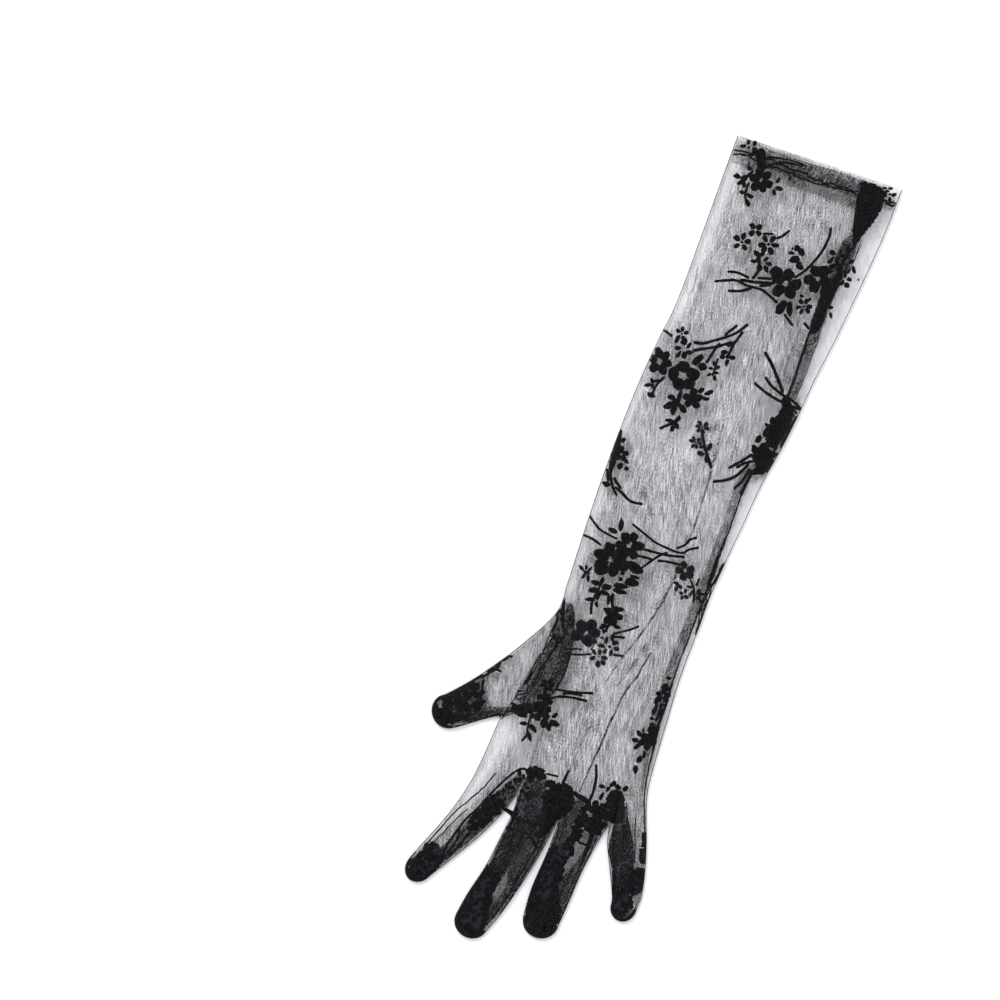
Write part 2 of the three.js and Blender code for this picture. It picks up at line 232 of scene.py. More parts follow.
def outline_points():
    """The laid glove's outline, from the left end of the hem round the thumb and fingers to its right end."""
    thumb = DIGITS["thumb"][1]
    points = list(LEFT_FOLD)
    points += [beside(s, -1) for s in thumb[1:]] + round_tip("thumb") + [beside(s, 1) for s in thumb[:1:-1]]
    points += LEFT_FOLD_BELOW_THUMB
    for name, fork in zip(FINGERS, [*FORKS.values(), None]):
        stations = DIGITS[name][1]
        points += [beside(s, -1) for s in stations] + round_tip(name)
        points += [beside(s, 1) for s in stations[::-1]]
        if fork:
            points.append(fork)
    return points + RIGHT_FOLD


OUTLINE = smooth(outline_points(), OUTLINE_STEP)
BATCH = 2000  # points worked on at a time


def inside(points, loop):
    """Which points lie inside a closed loop."""
    x, y = np.asarray(points)[:, 0][:, None], np.asarray(points)[:, 1][:, None]
    (x0, y0), (x1, y1) = np.asarray(loop).T, np.roll(loop, -1, axis=0).T
    crosses = (y0 > y) != (y1 > y)
    with np.errstate(divide="ignore", invalid="ignore"):
        at = (x1 - x0) * (y - y0) / (y1 - y0) + x0
    return (crosses & (x < at)).sum(axis=1) % 2 == 1


def to_fold(points):
    """How far each point lies inside the folded edge (below zero outside), and the edge's nearest point."""
    points = np.asarray(points, float)
    a, b = OUTLINE[:-1], OUTLINE[1:]
    run = b - a
    best, nearest = np.full(len(points), 1e9), np.zeros((len(points), 2))
    for start in range(0, len(points), BATCH):
        p = points[start:start + BATCH, None]
        t = np.clip(((p - a) * run).sum(axis=2) / (run ** 2).sum(axis=1), 0, 1)
        on = a + run * t[..., None]
        d = np.linalg.norm(p - on, axis=2)
        k = d.argmin(axis=1)
        rows = np.arange(len(k))
        best[start:start + BATCH], nearest[start:start + BATCH] = d[rows, k], on[rows, k]
    return np.where(inside(points, OUTLINE), best, -best), nearest


# Heights
# The laid glove is a soft, low tube: flat below, folded at its sides, and waved a little above. Its mouth
# is uneven. Sizes are millimetres, and the tables give a height, or how far the mouth stands out, from
# place to place.
FOLD_Z = 2.0
UNDER_Z = 0.45
ROUNDED = 12.0  # how far in from a fold the palm layer goes on rising
SETTLED = 3.0  # how far in from a fold the back layer reaches the floor
CALM = 8.0  # how far in from a fold the waves reach their full height
WAVE_HEIGHT = 0.8
UNDER_WAVE_HEIGHT = 0.25
HEIGHTS = [(-240, 8.4), (-168, 8.6), (-145, 9.4), (0, 10.4), (120, 11.2), (228, 11.6)]
MOUTH_UPPER = [(-29, 0.2), (-24, 0.6), (-20, 1.4), (-15, 0.2), (-10, -2.7), (0, -2.6), (12, -2.3),
               (22, -1.7), (33, -0.8), (42, -1.7), (47, -1.2), (57, -1.0), (62, 0.8), (67.5, 1.4)]
MOUTH_LOWER = [(-29, 0.4), (-18, 2.0), (-11, 0.2), (20, -0.6), (45, 0.8), (67.5, 1.6)]
MOUTH_FROM = 221.0


def waves(points, phase):
    """The gentle waves of the slack net, mostly along the arm."""
    x, y = points[:, 0], points[:, 1]
    return (0.5 * np.sin(x / 6.1 + 0.7 * np.sin(y / 31 + phase) + phase)
            + 0.35 * np.sin(x / 3.7 - y / 47 + 2 * phase)
            + 0.3 * np.sin(y / 17 + x / 21 + 3 * phase))


def surface(points, side):
    """Points on the palm layer (side 1) or the back layer (side -1). What is past the fold goes round it."""
    points = np.array(points, float)
    side = np.broadcast_to(np.asarray(side), len(points)).astype(float)
    depth, nearest = to_fold(points)
    past = depth < 0
    points[past] = 2 * nearest[past] - points[past]
    side = np.where(past, -side, side)
    depth = np.abs(depth)
    top = np.interp(points[:, 1], *zip(*HEIGHTS))
    rise = np.sqrt(1 - (1 - np.clip(depth / ROUNDED, 0, 1)) ** 2)
    calm = np.clip(depth / CALM, 0, 1) ** 1.5
    upper = FOLD_Z + (top - FOLD_Z) * rise + WAVE_HEIGHT * calm * waves(points, 0.4)
    settle = np.sqrt(1 - (1 - np.clip(depth / SETTLED, 0, 1)) ** 2)
    lower = FOLD_Z + (UNDER_Z - FOLD_Z) * settle + UNDER_WAVE_HEIGHT * calm * (1 + waves(points, 1.9))
    mouth = np.where(side > 0, np.interp(points[:, 0], *zip(*MOUTH_UPPER)),
                     np.interp(points[:, 0], *zip(*MOUTH_LOWER)))
    near_mouth = np.clip((points[:, 1] - MOUTH_FROM) / (HEM_Y - MOUTH_FROM), 0, 1) ** 1.5
    points[:, 1] += mouth * near_mouth
    return np.column_stack([points, np.where(side > 0, upper, lower)])


def between_layers(points, level):
    """Points in the hollow, at a share of the way up from the back layer to the palm layer."""
    return surface(points, -1) * (1 - level) + surface(points, 1) * level


# The glove's net
# The trank, the thumb and the strips between the fingers are cut from one mesh of the palm layer and the
# back layer, welded along the folds, with edges along every seam.
THUMB_SEAM = [(-38.0, -49), (-33, -50.5), (-29, -56), (-26, -66), (-23.5, -78), (-23, -88), (-24.5, -97),
              (-29, -108), (-38, -118), (-48.5, -125)]
THUMB_SEAM_BACK = [(-38.2, -52), (-38.7, -70), (-42, -95), (-47, -115), (-48.6, -125)]
THUMB_CLEAR = [(-60, -142), (-100, -150), (-100, -49)]
LIP = 4.5  # how far a strip between two fingers shows on each of them
FORK_TURNS = np.radians([150, 120, 90, 60, 30])
PAST_TIP = 1.15  # how far past a fingertip's side its strip is cut, as a share of the half width
SEAM_STEP = 1.5


def fork_seam(first, second, fork):
    """The seam round the strip between two fingers, on one layer."""
    line = [beside(s, 1 - 2 * LIP / s[3]) for s in DIGITS[first][1][::-1]]
    line += [(fork[0] + LIP * math.cos(a), fork[1] + LIP * math.sin(a)) for a in FORK_TURNS]
    line += [beside(s, -1 + 2 * LIP / s[3]) for s in DIGITS[second][1]]
    return [beside(DIGITS[first][1][-1], PAST_TIP)] + line + [beside(DIGITS[second][1][-1], -PAST_TIP)]


FORK_SEAMS = {name: smooth(fork_seam(*name.split("_"), fork), SEAM_STEP) for name, fork in FORKS.items()}
SPACING = 1.7  # between the points of the net's mesh
SEAM_CLEAR = 0.45  # the least between such a point and a seam
EDGE_RINGS = (0.35, 1.0, 2.0)  # how far in from the fold its rings of points lie


def layer_mesh(seams):
    """Triangles that fill the outline in plan, with edges along the seams, as points and faces."""
    points = [tuple(p) for p in OUTLINE]
    edges = [(i, i + 1) for i in range(len(points) - 1)] + [(len(points) - 1, 0)]
    outline_edges = len(points)
    for seam in seams:
        first = len(points)
        points += [tuple(p) for p in seam]
        edges += [(i, i + 1) for i in range(first, len(points) - 1)]
    low, high = OUTLINE.min(axis=0), OUTLINE.max(axis=0)
    rows = np.arange(low[1], high[1], SPACING * math.sqrt(3) / 2)
    grid = np.array([(x + (k % 2) * SPACING / 2, y) for k, y in enumerate(rows)
                     for x in np.arange(low[0], high[0], SPACING)])
    depth, _ = to_fold(grid)
    grid = grid[(depth > EDGE_RINGS[-1] + 0.6 * SPACING)]
    run = np.roll(OUTLINE, -1, axis=0) - np.roll(OUTLINE, 1, axis=0)
    inwards = np.column_stack([-run[:, 1], run[:, 0]]) / np.linalg.norm(run, axis=1)[:, None]
    rings = []
    for far in EDGE_RINGS:
        ring = (OUTLINE + inwards * far)[2:-2]
        depth, _ = to_fold(ring)
        rings.append(ring[depth > 0.85 * far])
    near_seam = np.vstack([np.asarray(s) for s in seams])
    extra = np.vstack([grid, *rings])
    clear = np.array([np.min(np.hypot(*(near_seam - p).T)) > SEAM_CLEAR for p in extra])
    points += [tuple(p) for p in extra[clear & (extra[:, 1] < HEM_Y - 0.5)]]
    made = geometry.delaunay_2d_cdt(points, edges, [list(range(outline_edges))], 1, 1e-5)
    return np.array(made[0]), [tuple(f) for f in made[2]]


UPPER_SEAMS = [*FORK_SEAMS.values(), smooth(THUMB_SEAM, SEAM_STEP)]
LOWER_SEAMS = [*FORK_SEAMS.values(), smooth(THUMB_SEAM_BACK, SEAM_STEP)]


def glove_mesh():
    """The whole glove: points, their plan, faces facing out, each face's piece."""
    places, plans, faces, owners = [], [], [], []
    for side, seams, thumb_seam in ((1, UPPER_SEAMS, THUMB_SEAM), (-1, LOWER_SEAMS, THUMB_SEAM_BACK)):
        plan, tris = layer_mesh(seams)
        first = len(places)
        places += list(surface(plan, side))
        plans += [(x, y, side) for x, y in plan]
        middles = np.array([plan[list(t)].mean(axis=0) for t in tris])
        owner = np.full(len(tris), "trank", dtype=object)
        owner[inside(middles, [*thumb_seam, *THUMB_CLEAR])] = "thumb"
        for name, seam in FORK_SEAMS.items():
            owner[inside(middles, seam)] = name
        for t, who in zip(tris, owner):
            a, b, c = (plan[i] for i in t)
            turn = (b[0] - a[0]) * (c[1] - a[1]) - (b[1] - a[1]) * (c[0] - a[0])
            t = t if turn * side > 0 else t[::-1]
            faces.append(tuple(first + i for i in t))
            owners.append(who)
    return np.array(places), np.array(plans), faces, np.array(owners)


PLACES, PLANS, FACES, OWNERS = glove_mesh()


def net_coordinates(plans):
    """Where each point lies on the cut net, in metres, with the slight pull of wear and sewing."""
    x, y, side = plans.T
    u = x + 0.5 * np.sin(y / 23 + side) + 0.35 * np.sin(x / 9 + y / 61)
    v = y + 0.6 * np.sin(x / 27 + 2 * side) + 0.3 * np.sin(y / 13 - x / 33)
    return np.column_stack([np.where(side > 0, u, 1.03 * u + 211),
                            np.where(side > 0, v, 0.985 * v + 157)]) / 1000


# How heavy the net looks, with painted light
# It changes from place to place: its slack part lies in tiny crumples, and it is taut, and
# so thin, past the side seam and in a strip along the thumb's side fold. These two strips are thinned
# further as painted light, standing in for the light that makes them look brighter. SEAM_LINE is that
# seam by y and x, and EDGE_STRIP that strip by y and width.
# The two thinnings below are partly the taut net and partly painted light that brightens those strips.
THIN_AND_LIT_PAST_SEAM = 0.72
THIN_AND_LIT_AT_FOLD = 0.62
STRETCHED = 0.1  # how much lighter the middle of the arm is
STRETCHED_AT, STRETCHED_OVER = 50, 60  # where that is, by y, and over what length
LEAST_THIN = -165  # y where the thin strip past the seam ends, in the little finger
SEAM_LINE = [(228, 60), (215, 59), (200, 56), (190, 55), (170, 52), (138, 50), (100, 50), (95, 54), (55, 50),
             (45, 39.5), (0, 39), (-60, 36.5), (-100, 37), (-113, 38.5), (-135, 41.5), (-145, 45.5),
             (-156, 50), (-165, 60)]
EDGE_STRIP = [(-240, 1.6), (-205, 2), (-180, 5), (-155, 8), (-128, 9), (-118, 0), (-60, 0), (-45, 3),
              (60, 3.5), (110, 2), (125, 6), (215, 6), (228, 4)]


def heaviness_and_painted_light(plans):
    """How heavy the net looks at each point of the glove, with painted light that thins it
    past the side seam and along the thumb's fold.
    """
    x, y, side = plans.T
    depth, nearest = to_fold(plans[:, :2])
    # The strips past the side seam and along the thumb's fold: partly taut net, partly painted light.
    beyond = x - np.interp(-y, *zip(*[(-sy, sx) for sy, sx in SEAM_LINE]))
    thin_and_lit_right = np.clip(beyond / 1.2, 0, 1) * (y > LEAST_THIN)
    strip = np.interp(y, *zip(*EDGE_STRIP))
    thin_and_lit_left = np.clip(1.6 - depth / np.maximum(strip, 0.1), 0, 1) * (nearest[:, 0] < x) * (strip > 0.5)
    stretched = STRETCHED * np.exp(-((y - STRETCHED_AT) / STRETCHED_OVER) ** 2)
    return 1.0 - stretched - THIN_AND_LIT_PAST_SEAM * thin_and_lit_right - THIN_AND_LIT_AT_FOLD * thin_and_lit_left


def net_mesh(name, places, faces, coordinates, weights):
    """A sheet of net as an object, with its net coordinates and how heavy it looks."""
    mesh = bpy.data.meshes.new(name)
    mesh.from_pydata([tuple(p) for p in metres(places)], [], faces)
    corners = np.array([i for f in faces for i in f])
    uv = mesh.uv_layers.new(name="net")
    uv.data.foreach_set("uv", np.asarray(coordinates)[corners].ravel())
    heavy = mesh.attributes.new("heavy", "FLOAT", "POINT")
    heavy.data.foreach_set("value", np.asarray(weights, float))
    mesh.shade_smooth()
    piece = bpy.data.objects.new(name, mesh)
    bpy.context.scene.collection.objects.link(piece)
    return piece


def weld(piece, within=2e-5):
    """Joins points of a piece that lie on each other."""
    work = bmesh.new()
    work.from_mesh(piece.data)
    bmesh.ops.remove_doubles(work, verts=work.verts, dist=within)
    work.to_mesh(piece.data)
    work.free()


RIBBON_STEP = 2.0


class Folds:
    """Gathers ribbons of net that lie inside or on the glove, such as hems, seam edges and tucks."""

    def __init__(self):
        self.places, self.faces, self.net, self.weights = [], [], [], []

    def ribbon(self, rows, level, weight=1.0, turn=0.0, over=0.0):
        """Along its spine's rows of x, y and width. level is how high it lies between the two layers, over
        is its height above that in millimetres, and turn is how far its net is turned."""
        line = smooth(np.array(rows, float), RIBBON_STEP)
        run = np.gradient(line[:, :2], axis=0)
        run /= np.linalg.norm(run, axis=1)[:, None] + 1e-9
        across = np.column_stack([-run[:, 1], run[:, 0]])
        count = max(3, round(line[:, 2].max() / RIBBON_STEP) + 1)
        shares = np.linspace(-0.5, 0.5, count)
        off = shares[None, :, None] * line[:, None, None, 2]
        plan = (line[:, None, :2] + across[:, None] * off).reshape(-1, 2)
        first = len(self.places)
        self.places += list(between_layers(plan, level) + [0, 0, over])
        flip = np.column_stack([plan, np.ones(len(plan))])
        base = net_coordinates(flip)
        c, s = math.cos(turn), math.sin(turn)
        self.net += list(base @ np.array([[c, s], [-s, c]]) + turn)
        self.weights += [weight] * len(plan)
        for i in range(len(line) - 1):
            for j in range(count - 1):
                a = first + i * count + j
                self.faces.append((a, a + count, a + count + 1, a + 1))

    def add_glove(self, wanted):
        """The glove's own faces that belong to a piece."""
        chosen = [f for f, who in zip(FACES, OWNERS) if who == wanted]
        used = np.unique(np.concatenate(chosen))
        new = dict(zip(used, range(len(self.places), len(self.places) + len(used))))
        self.places += list(PLACES[used])
        self.faces += [[new[i] for i in f] for f in chosen]
        self.net += list(net_coordinates(PLANS[used]))
        self.weights += list(heaviness_and_painted_light(PLANS[used]))

    def piece(self, name, nodes, slot, material):
        piece = net_mesh(name, self.places, self.faces, self.net, self.weights)
        weld(piece)
        piece.data.materials.append(material)
        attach(piece, "root")
        if nodes:
            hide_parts(*nodes)
        return piece


# The net's look
# Hexagonal black net. Its threads are drawn by alpha on the net's own coordinates. A slack, crumpled or
# taut place shows as heavier or finer threads, in streaks where the two layers' holes fall in or out of
# step.
PITCH = 0.85e-3
THREAD = 0.109e-3
THREAD_BLACK = (0.011, 0.0105, 0.0125, 1)
# What makes the net uneven: the direction in degrees, the width and the length in metres, the detail and
# how much it tells.
STREAKS = (13, 0.00042, 0.0078, 0.0, 5.8)
GRAIN = (19, 0.0004, 0.001, 0.0, 4.4)
CLOUDS = (8, 0.008, 0.04, 1.0, 1.5)


def net_material(name):
    """Black hexagonal net that can be seen through."""
    material, start, out = new_material(name)
    uv = start.node("ShaderNodeUVMap", uv_map="net")
    heavy = start.node("ShaderNodeAttribute", attribute_name="heavy", out=2)
    cell = (1.0, math.sqrt(3), 1.0)
    half_cell = tuple(c / 2 for c in cell)
    at = uv.vector("DIVIDE", uv, (PITCH, PITCH * cell[1], 1.0))
    hexes = []
    for shift in (0.0, 0.5):
        moved = at.vector("FRACTION", at.vector("ADD", at, (shift, shift, 0)))
        from_middle = at.vector("SUBTRACT", at.vector("MULTIPLY", moved, cell), half_cell)
        x, y, _ = at.vector("ABSOLUTE", from_middle).parts()
        hexes.append(x.maths("MAXIMUM", x, x * 0.5 + y * (math.sqrt(3) / 2)))
    across = hexes[0].maths("MINIMUM", *hexes)

    def uneven(turn, wide, long, detail, strength):
        placed = uv.node("ShaderNodeMapping", {"Vector": uv, "Rotation": (0, 0, math.radians(turn)),
                                               "Scale": (wide, long, 1)}, vector_type="TEXTURE")
        noise = uv.node("ShaderNodeTexNoise", {"Vector": placed, "Scale": 1.0, "Detail": detail})
        return (noise - 0.5) * strength

    # The heavy attribute also holds painted light: thinner threads past the side seam and along the thumb's
    # fold.
    pull = heavy * (1 + uneven(*STREAKS) + uneven(*GRAIN) + uneven(*CLOUDS))
    mask = across > 0.5 - pull * (THREAD / PITCH / 2)
    shader = start.node("ShaderNodeBsdfPrincipled", {
        "Base Color": THREAD_BLACK, "Roughness": 0.62, "Specular IOR Level": 0.12, "Alpha": mask})
    out.id_data.links.new(shader.socket, out.inputs["Surface"])
    return material


NET = net_material("black_net")
HEM_NET = net_material("black_hem_net")


FLOCK_BLACK = 0.0022
LOW_FLOCK = 0.024  # how much lighter the pile is where it is low
FLECKS = 0.075  # how much lighter a few tufts are
FLOCK_TINT = (1, 0.95, 1.12)


def flock_material():
    """Short matt black pile, a little lighter where it is low, such as in the grooves between its pads."""
    material, start, out = new_material("flock")
    at = start.node("ShaderNodeTexCoord", out=3)
    grain = start.node("ShaderNodeTexNoise", {"Vector": at, "Scale": 5200.0, "Detail": 2.0})
    speckle = start.node("ShaderNodeTexNoise", {"Vector": at, "Scale": 1500.0, "Detail": 1.0})
    low = 1.0 - start.node("ShaderNodeAttribute", attribute_name="pile", out=2)
    shine = FLOCK_BLACK + low * low * LOW_FLOCK + start.maths("MAXIMUM", speckle - 0.5, 0.0) * FLECKS
    colour = start.node("ShaderNodeCombineColor", {k: shine * tint for k, tint in enumerate(FLOCK_TINT)})
    bump = start.node("ShaderNodeBump", {"Height": grain, "Strength": 0.6, "Distance": 0.0002})
    shader = start.node("ShaderNodeBsdfPrincipled", {
        "Base Color": colour, "Roughness": 0.95, "Specular IOR Level": 0.06, "Sheen Weight": 0.02,
        "Sheen Roughness": 0.5, "Normal": bump})
    out.id_data.links.new(shader.socket, out.inputs["Surface"])
    return material


FLOCK = flock_material()


# Trank
# One piece of net makes the sleeve, the palm, the back and both faces of the fingers. It is folded on the
# thumb's side and sewn up on the little finger's side.
trank_net = Folds()
trank_net.add_glove("trank")
trank = trank_net.piece("trank_net", ["glove_body", *["finger_" + name for name in FINGERS]], "tulle", NET)

# Thumb
# Its own piece of net, sewn round an oval in the palm. The edges of that seam lie folded over inside, in
# dark layers at its base. Each row is a ribbon's spine by x, y and width, its level, its weight and its
# turn.
thumb_net = Folds()
thumb_net.add_glove("thumb")
thumb_net.ribbon([(-34, -52, 5), (-31, -60, 8), (-30, -72, 13), (-30, -85, 15), (-31, -97, 15),
                  (-35, -107, 12), (-40, -113, 7)], 0.8, 2.3, 0.3)
thumb_net.ribbon([(-33, -54, 4), (-29.6, -64, 6), (-26.6, -78, 6), (-26.4, -90, 6), (-28, -100, 7)], 0.72,
                 2.4, 0.8)
thumb_net.ribbon([(-36, -60, 3), (-35.6, -75, 6), (-38, -90, 7), (-41, -104, 7), (-43, -112, 5)], 0.66, 2.9,
                 1.3)
thumb_net.ribbon([(-34.6, -50.8, 2.6), (-31.4, -53, 4), (-29.4, -58, 4), (-28.4, -64, 4)], 0.9, 2.0, 1.7)
thumb_net.ribbon([(-25.4, -77, 3), (-25, -84, 4), (-25.8, -90, 4), (-28.6, -96, 4)], 0.88, 2.8, 2.1)
thumb_net.ribbon([(-43, -117.4, 4), (-50, -121.4, 6), (-58, -124, 8), (-66, -127.6, 10), (-76, -132, 10)],
                 0.5, 3.0, 0.5)
thumb_net.ribbon([(-60, -114, 10), (-68, -119, 15), (-78, -128, 15)], 0.6, 1.7, 0.9)
thumb_net.ribbon([(-40, -110, 6), (-35, -101, 10), (-31.4, -90, 12), (-31, -77, 11), (-33, -64, 7)], 0.45,
                 1.6, 1.9)
thumb_net.ribbon([(-46, -118.6, 3), (-54, -124, 5), (-62, -128.4, 5), (-70, -133, 5)], 0.4, 3.0, 1.2)
thumb_net.ribbon([(-27, -55, 4), (-23.4, -61, 7), (-22.6, -69, 7), (-25.4, -77, 4)], 0.85, 1.0, 2.6)
thumb = thumb_net.piece("thumb_net", ["thumb"], "tulle", NET)

# Strips between the fingers
# Each strip is a long narrow piece of net that shows along two fingers' sides, and its folded half lies
# inside them. Each of its folds is a spine, the levels that it lies at and its weight.
LAYER_TURN = 0.37
STRIP_FOLDS = {
    "index_middle": [
        ([(-26.6, -150.4, 5), (-29.5, -158, 7), (-34, -168, 10), (-40, -180, 10), (-46, -192, 9),
          (-52, -203, 8), (-57.6, -213, 6)],
         (0.35, 0.65), 2.1),
        ([(-19.6, -148.6, 9), (-18.4, -154, 13), (-17.4, -160, 15), (-17.4, -172, 16), (-20.4, -188, 13),
          (-23.6, -204, 12), (-27.6, -220, 12), (-31, -234, 9)],
         (0.2, 0.4, 0.6), 1.8),
        ([(-21, -182, 5), (-21.4, -196, 7), (-23, -209, 7)], (0.5,), 2.4)],
    "middle_ring": [
        ([(-4, -160, 7), (-5.6, -172, 11), (-9.6, -190, 13), (-11.2, -203, 11), (-12.6, -214, 6),
          (-18.4, -232, 5)],
         (0.3, 0.5, 0.7), 1.5),
        ([(6.6, -153, 7), (6.4, -162, 9), (6.8, -172, 10), (5.6, -188, 11), (4.6, -204, 12), (4.6, -218, 11),
          (5.6, -229, 8)],
         (0.2, 0.4, 0.6), 1.5)],
    "ring_little": [
        ([(24, -160, 3.4), (22, -172, 3), (20.6, -182, 3.4), (18.8, -192, 6), (16.2, -204, 10.4),
          (14.6, -218, 11), (13, -229, 8)],
         (0.3, 0.5, 0.7), 1.5),
        ([(30, -146, 1.4), (33, -153, 6), (35.8, -161, 10), (38.6, -170, 14), (42.6, -182, 14),
          (46, -194, 12), (47.6, -202, 9)],
         (0.2, 0.45, 0.7), 2.6)],
}
for name, folds in STRIP_FOLDS.items():
    strip_net = Folds()
    strip_net.add_glove(name)
    for rows, levels, weight in folds:
        for k, level in enumerate(levels):
            strip_net.ribbon(rows, level, weight, LAYER_TURN * (k + 1))
    strip = strip_net.piece("strip_" + name, ["fourchette_" + name], "tulle", NET)

# Hem
# The net is turned in twice at the mouth and stitched down, so that several layers show there as a dark
# band.
hem_net = Folds()
hem_net.ribbon([(-28.6, 221, 8), (-12, 221, 8)], 0.96, 0.6, 0.2)
hem_net.ribbon([(-12, 221.6, 12), (0, 221.2, 13), (20, 221.6, 12.2), (40, 222, 11.4), (60, 222, 11)], 0.97,
               1.75, 0.4)
hem_net.ribbon([(-12, 221.6, 12), (0, 221.6, 12), (20, 221.6, 12), (46, 221.8, 11.6)], 0.92, 1.65, 0.7)
hem_net.ribbon([(-28.6, 218, 10), (0, 217.6, 13), (30, 217.6, 14), (46, 217, 13), (66, 221, 8)], 0.12, 1.1,
               1.1)
hem = hem_net.piece("hem_net", ["top_hem"], "hem_tulle", HEM_NET)

# Side seam
# The trank's raw edges lie together inside, in a wide dark wedge at the hem and a narrow band down to the
# little finger.
seam_net = Folds()
for level, weight, turn in ((0.9, 1.4, 0.3), (0.8, 1.4, 0.9), (0.7, 1.3, 1.4)):
    seam_net.ribbon([(52, 224.4, 15), (52, 218, 15), (51.6, 210, 12), (51.4, 203, 8), (51.4, 196, 6),
                     (49.6, 188, 9), (49, 180, 9.5), (48.6, 172, 8), (47.5, 160, 7), (47, 138, 6.6),
                     (46.6, 120, 6), (46.6, 104, 5.6), (45.4, 97, 5)], level, weight, turn)
    seam_net.ribbon([(44, 60, 6), (39, 52, 6), (36, 44, 5.4), (35.4, 20, 5), (35, 0, 5), (34.2, -30, 5.4),
                     (33.2, -60, 5.6), (33, -90, 5.2), (34.8, -112, 3.4), (38, -130, 1.6), (40.6, -140, 0.6)],
                    level, weight * 0.68, turn)
seam_net.ribbon([(44, 137, 11), (42, 118, 10), (42.6, 102, 4)], 0.6, 0.8, 1.9)
seam_net.ribbon([(50, 193, 5), (48.6, 187, 10), (48, 180, 12), (47.6, 174, 12)], 0.62, 1.9, 2.3)
seam = seam_net.piece("seam_net", ["side_seam"], "hem_tulle", HEM_NET)


# Flocked sprigs
# Each sprig is a soft black pile flocked on the outside of the net: round-petalled flowers, daisies of
# loose petals, leaves and long bent stems. Directions are degrees anticlockwise from +X.
PILE = 0.35  # the pile's height
LOW_PILE = 0.4 * PILE  # the height of the ground between the petals of a patch
ROOT = -0.06  # where the pile's underside lies, in the net
EDGE_JITTER = 0.08  # how rough an edge is, as a share of its reach
SWELL = 1.16  # how much larger a pad is than its printed shape
DOME = [(1.0, 0.0), (0.86, 0.8), (0.45, 1.0)]  # a pad's rings: shares of its reach and of the pile's height
FEW, MANY, SMALL = 10, 14, 3.5  # the sides of a pad shorter than SMALL, and of any other
END_REACH, END_WIDTH = 0.8, 0.35  # how a stem's end closes, in shares of its half width
CROWDED = 1.9  # how many pads a crowd has for each square of their size
SIZES = (0.7, 1.15)  # the smallest and the largest pad of a crowd, as shares of their size
FLOWER_SWAY, DAISY_SWAY = 5, 7  # how far a petal turns astray, in degrees
FINE_STEP, COARSE_STEP, NARROW = 1.0, 1.6, 2.5  # the steps along a stem below NARROW wide, and any other
HEM_CLEAR = 0.3  # the pile stops this far short of the hem's edge
FOLD_TURN = 0.9  # how near a fold the pile begins to lean out over it
FOLD_LEAN = 0.7  # how far it has leant at the fold


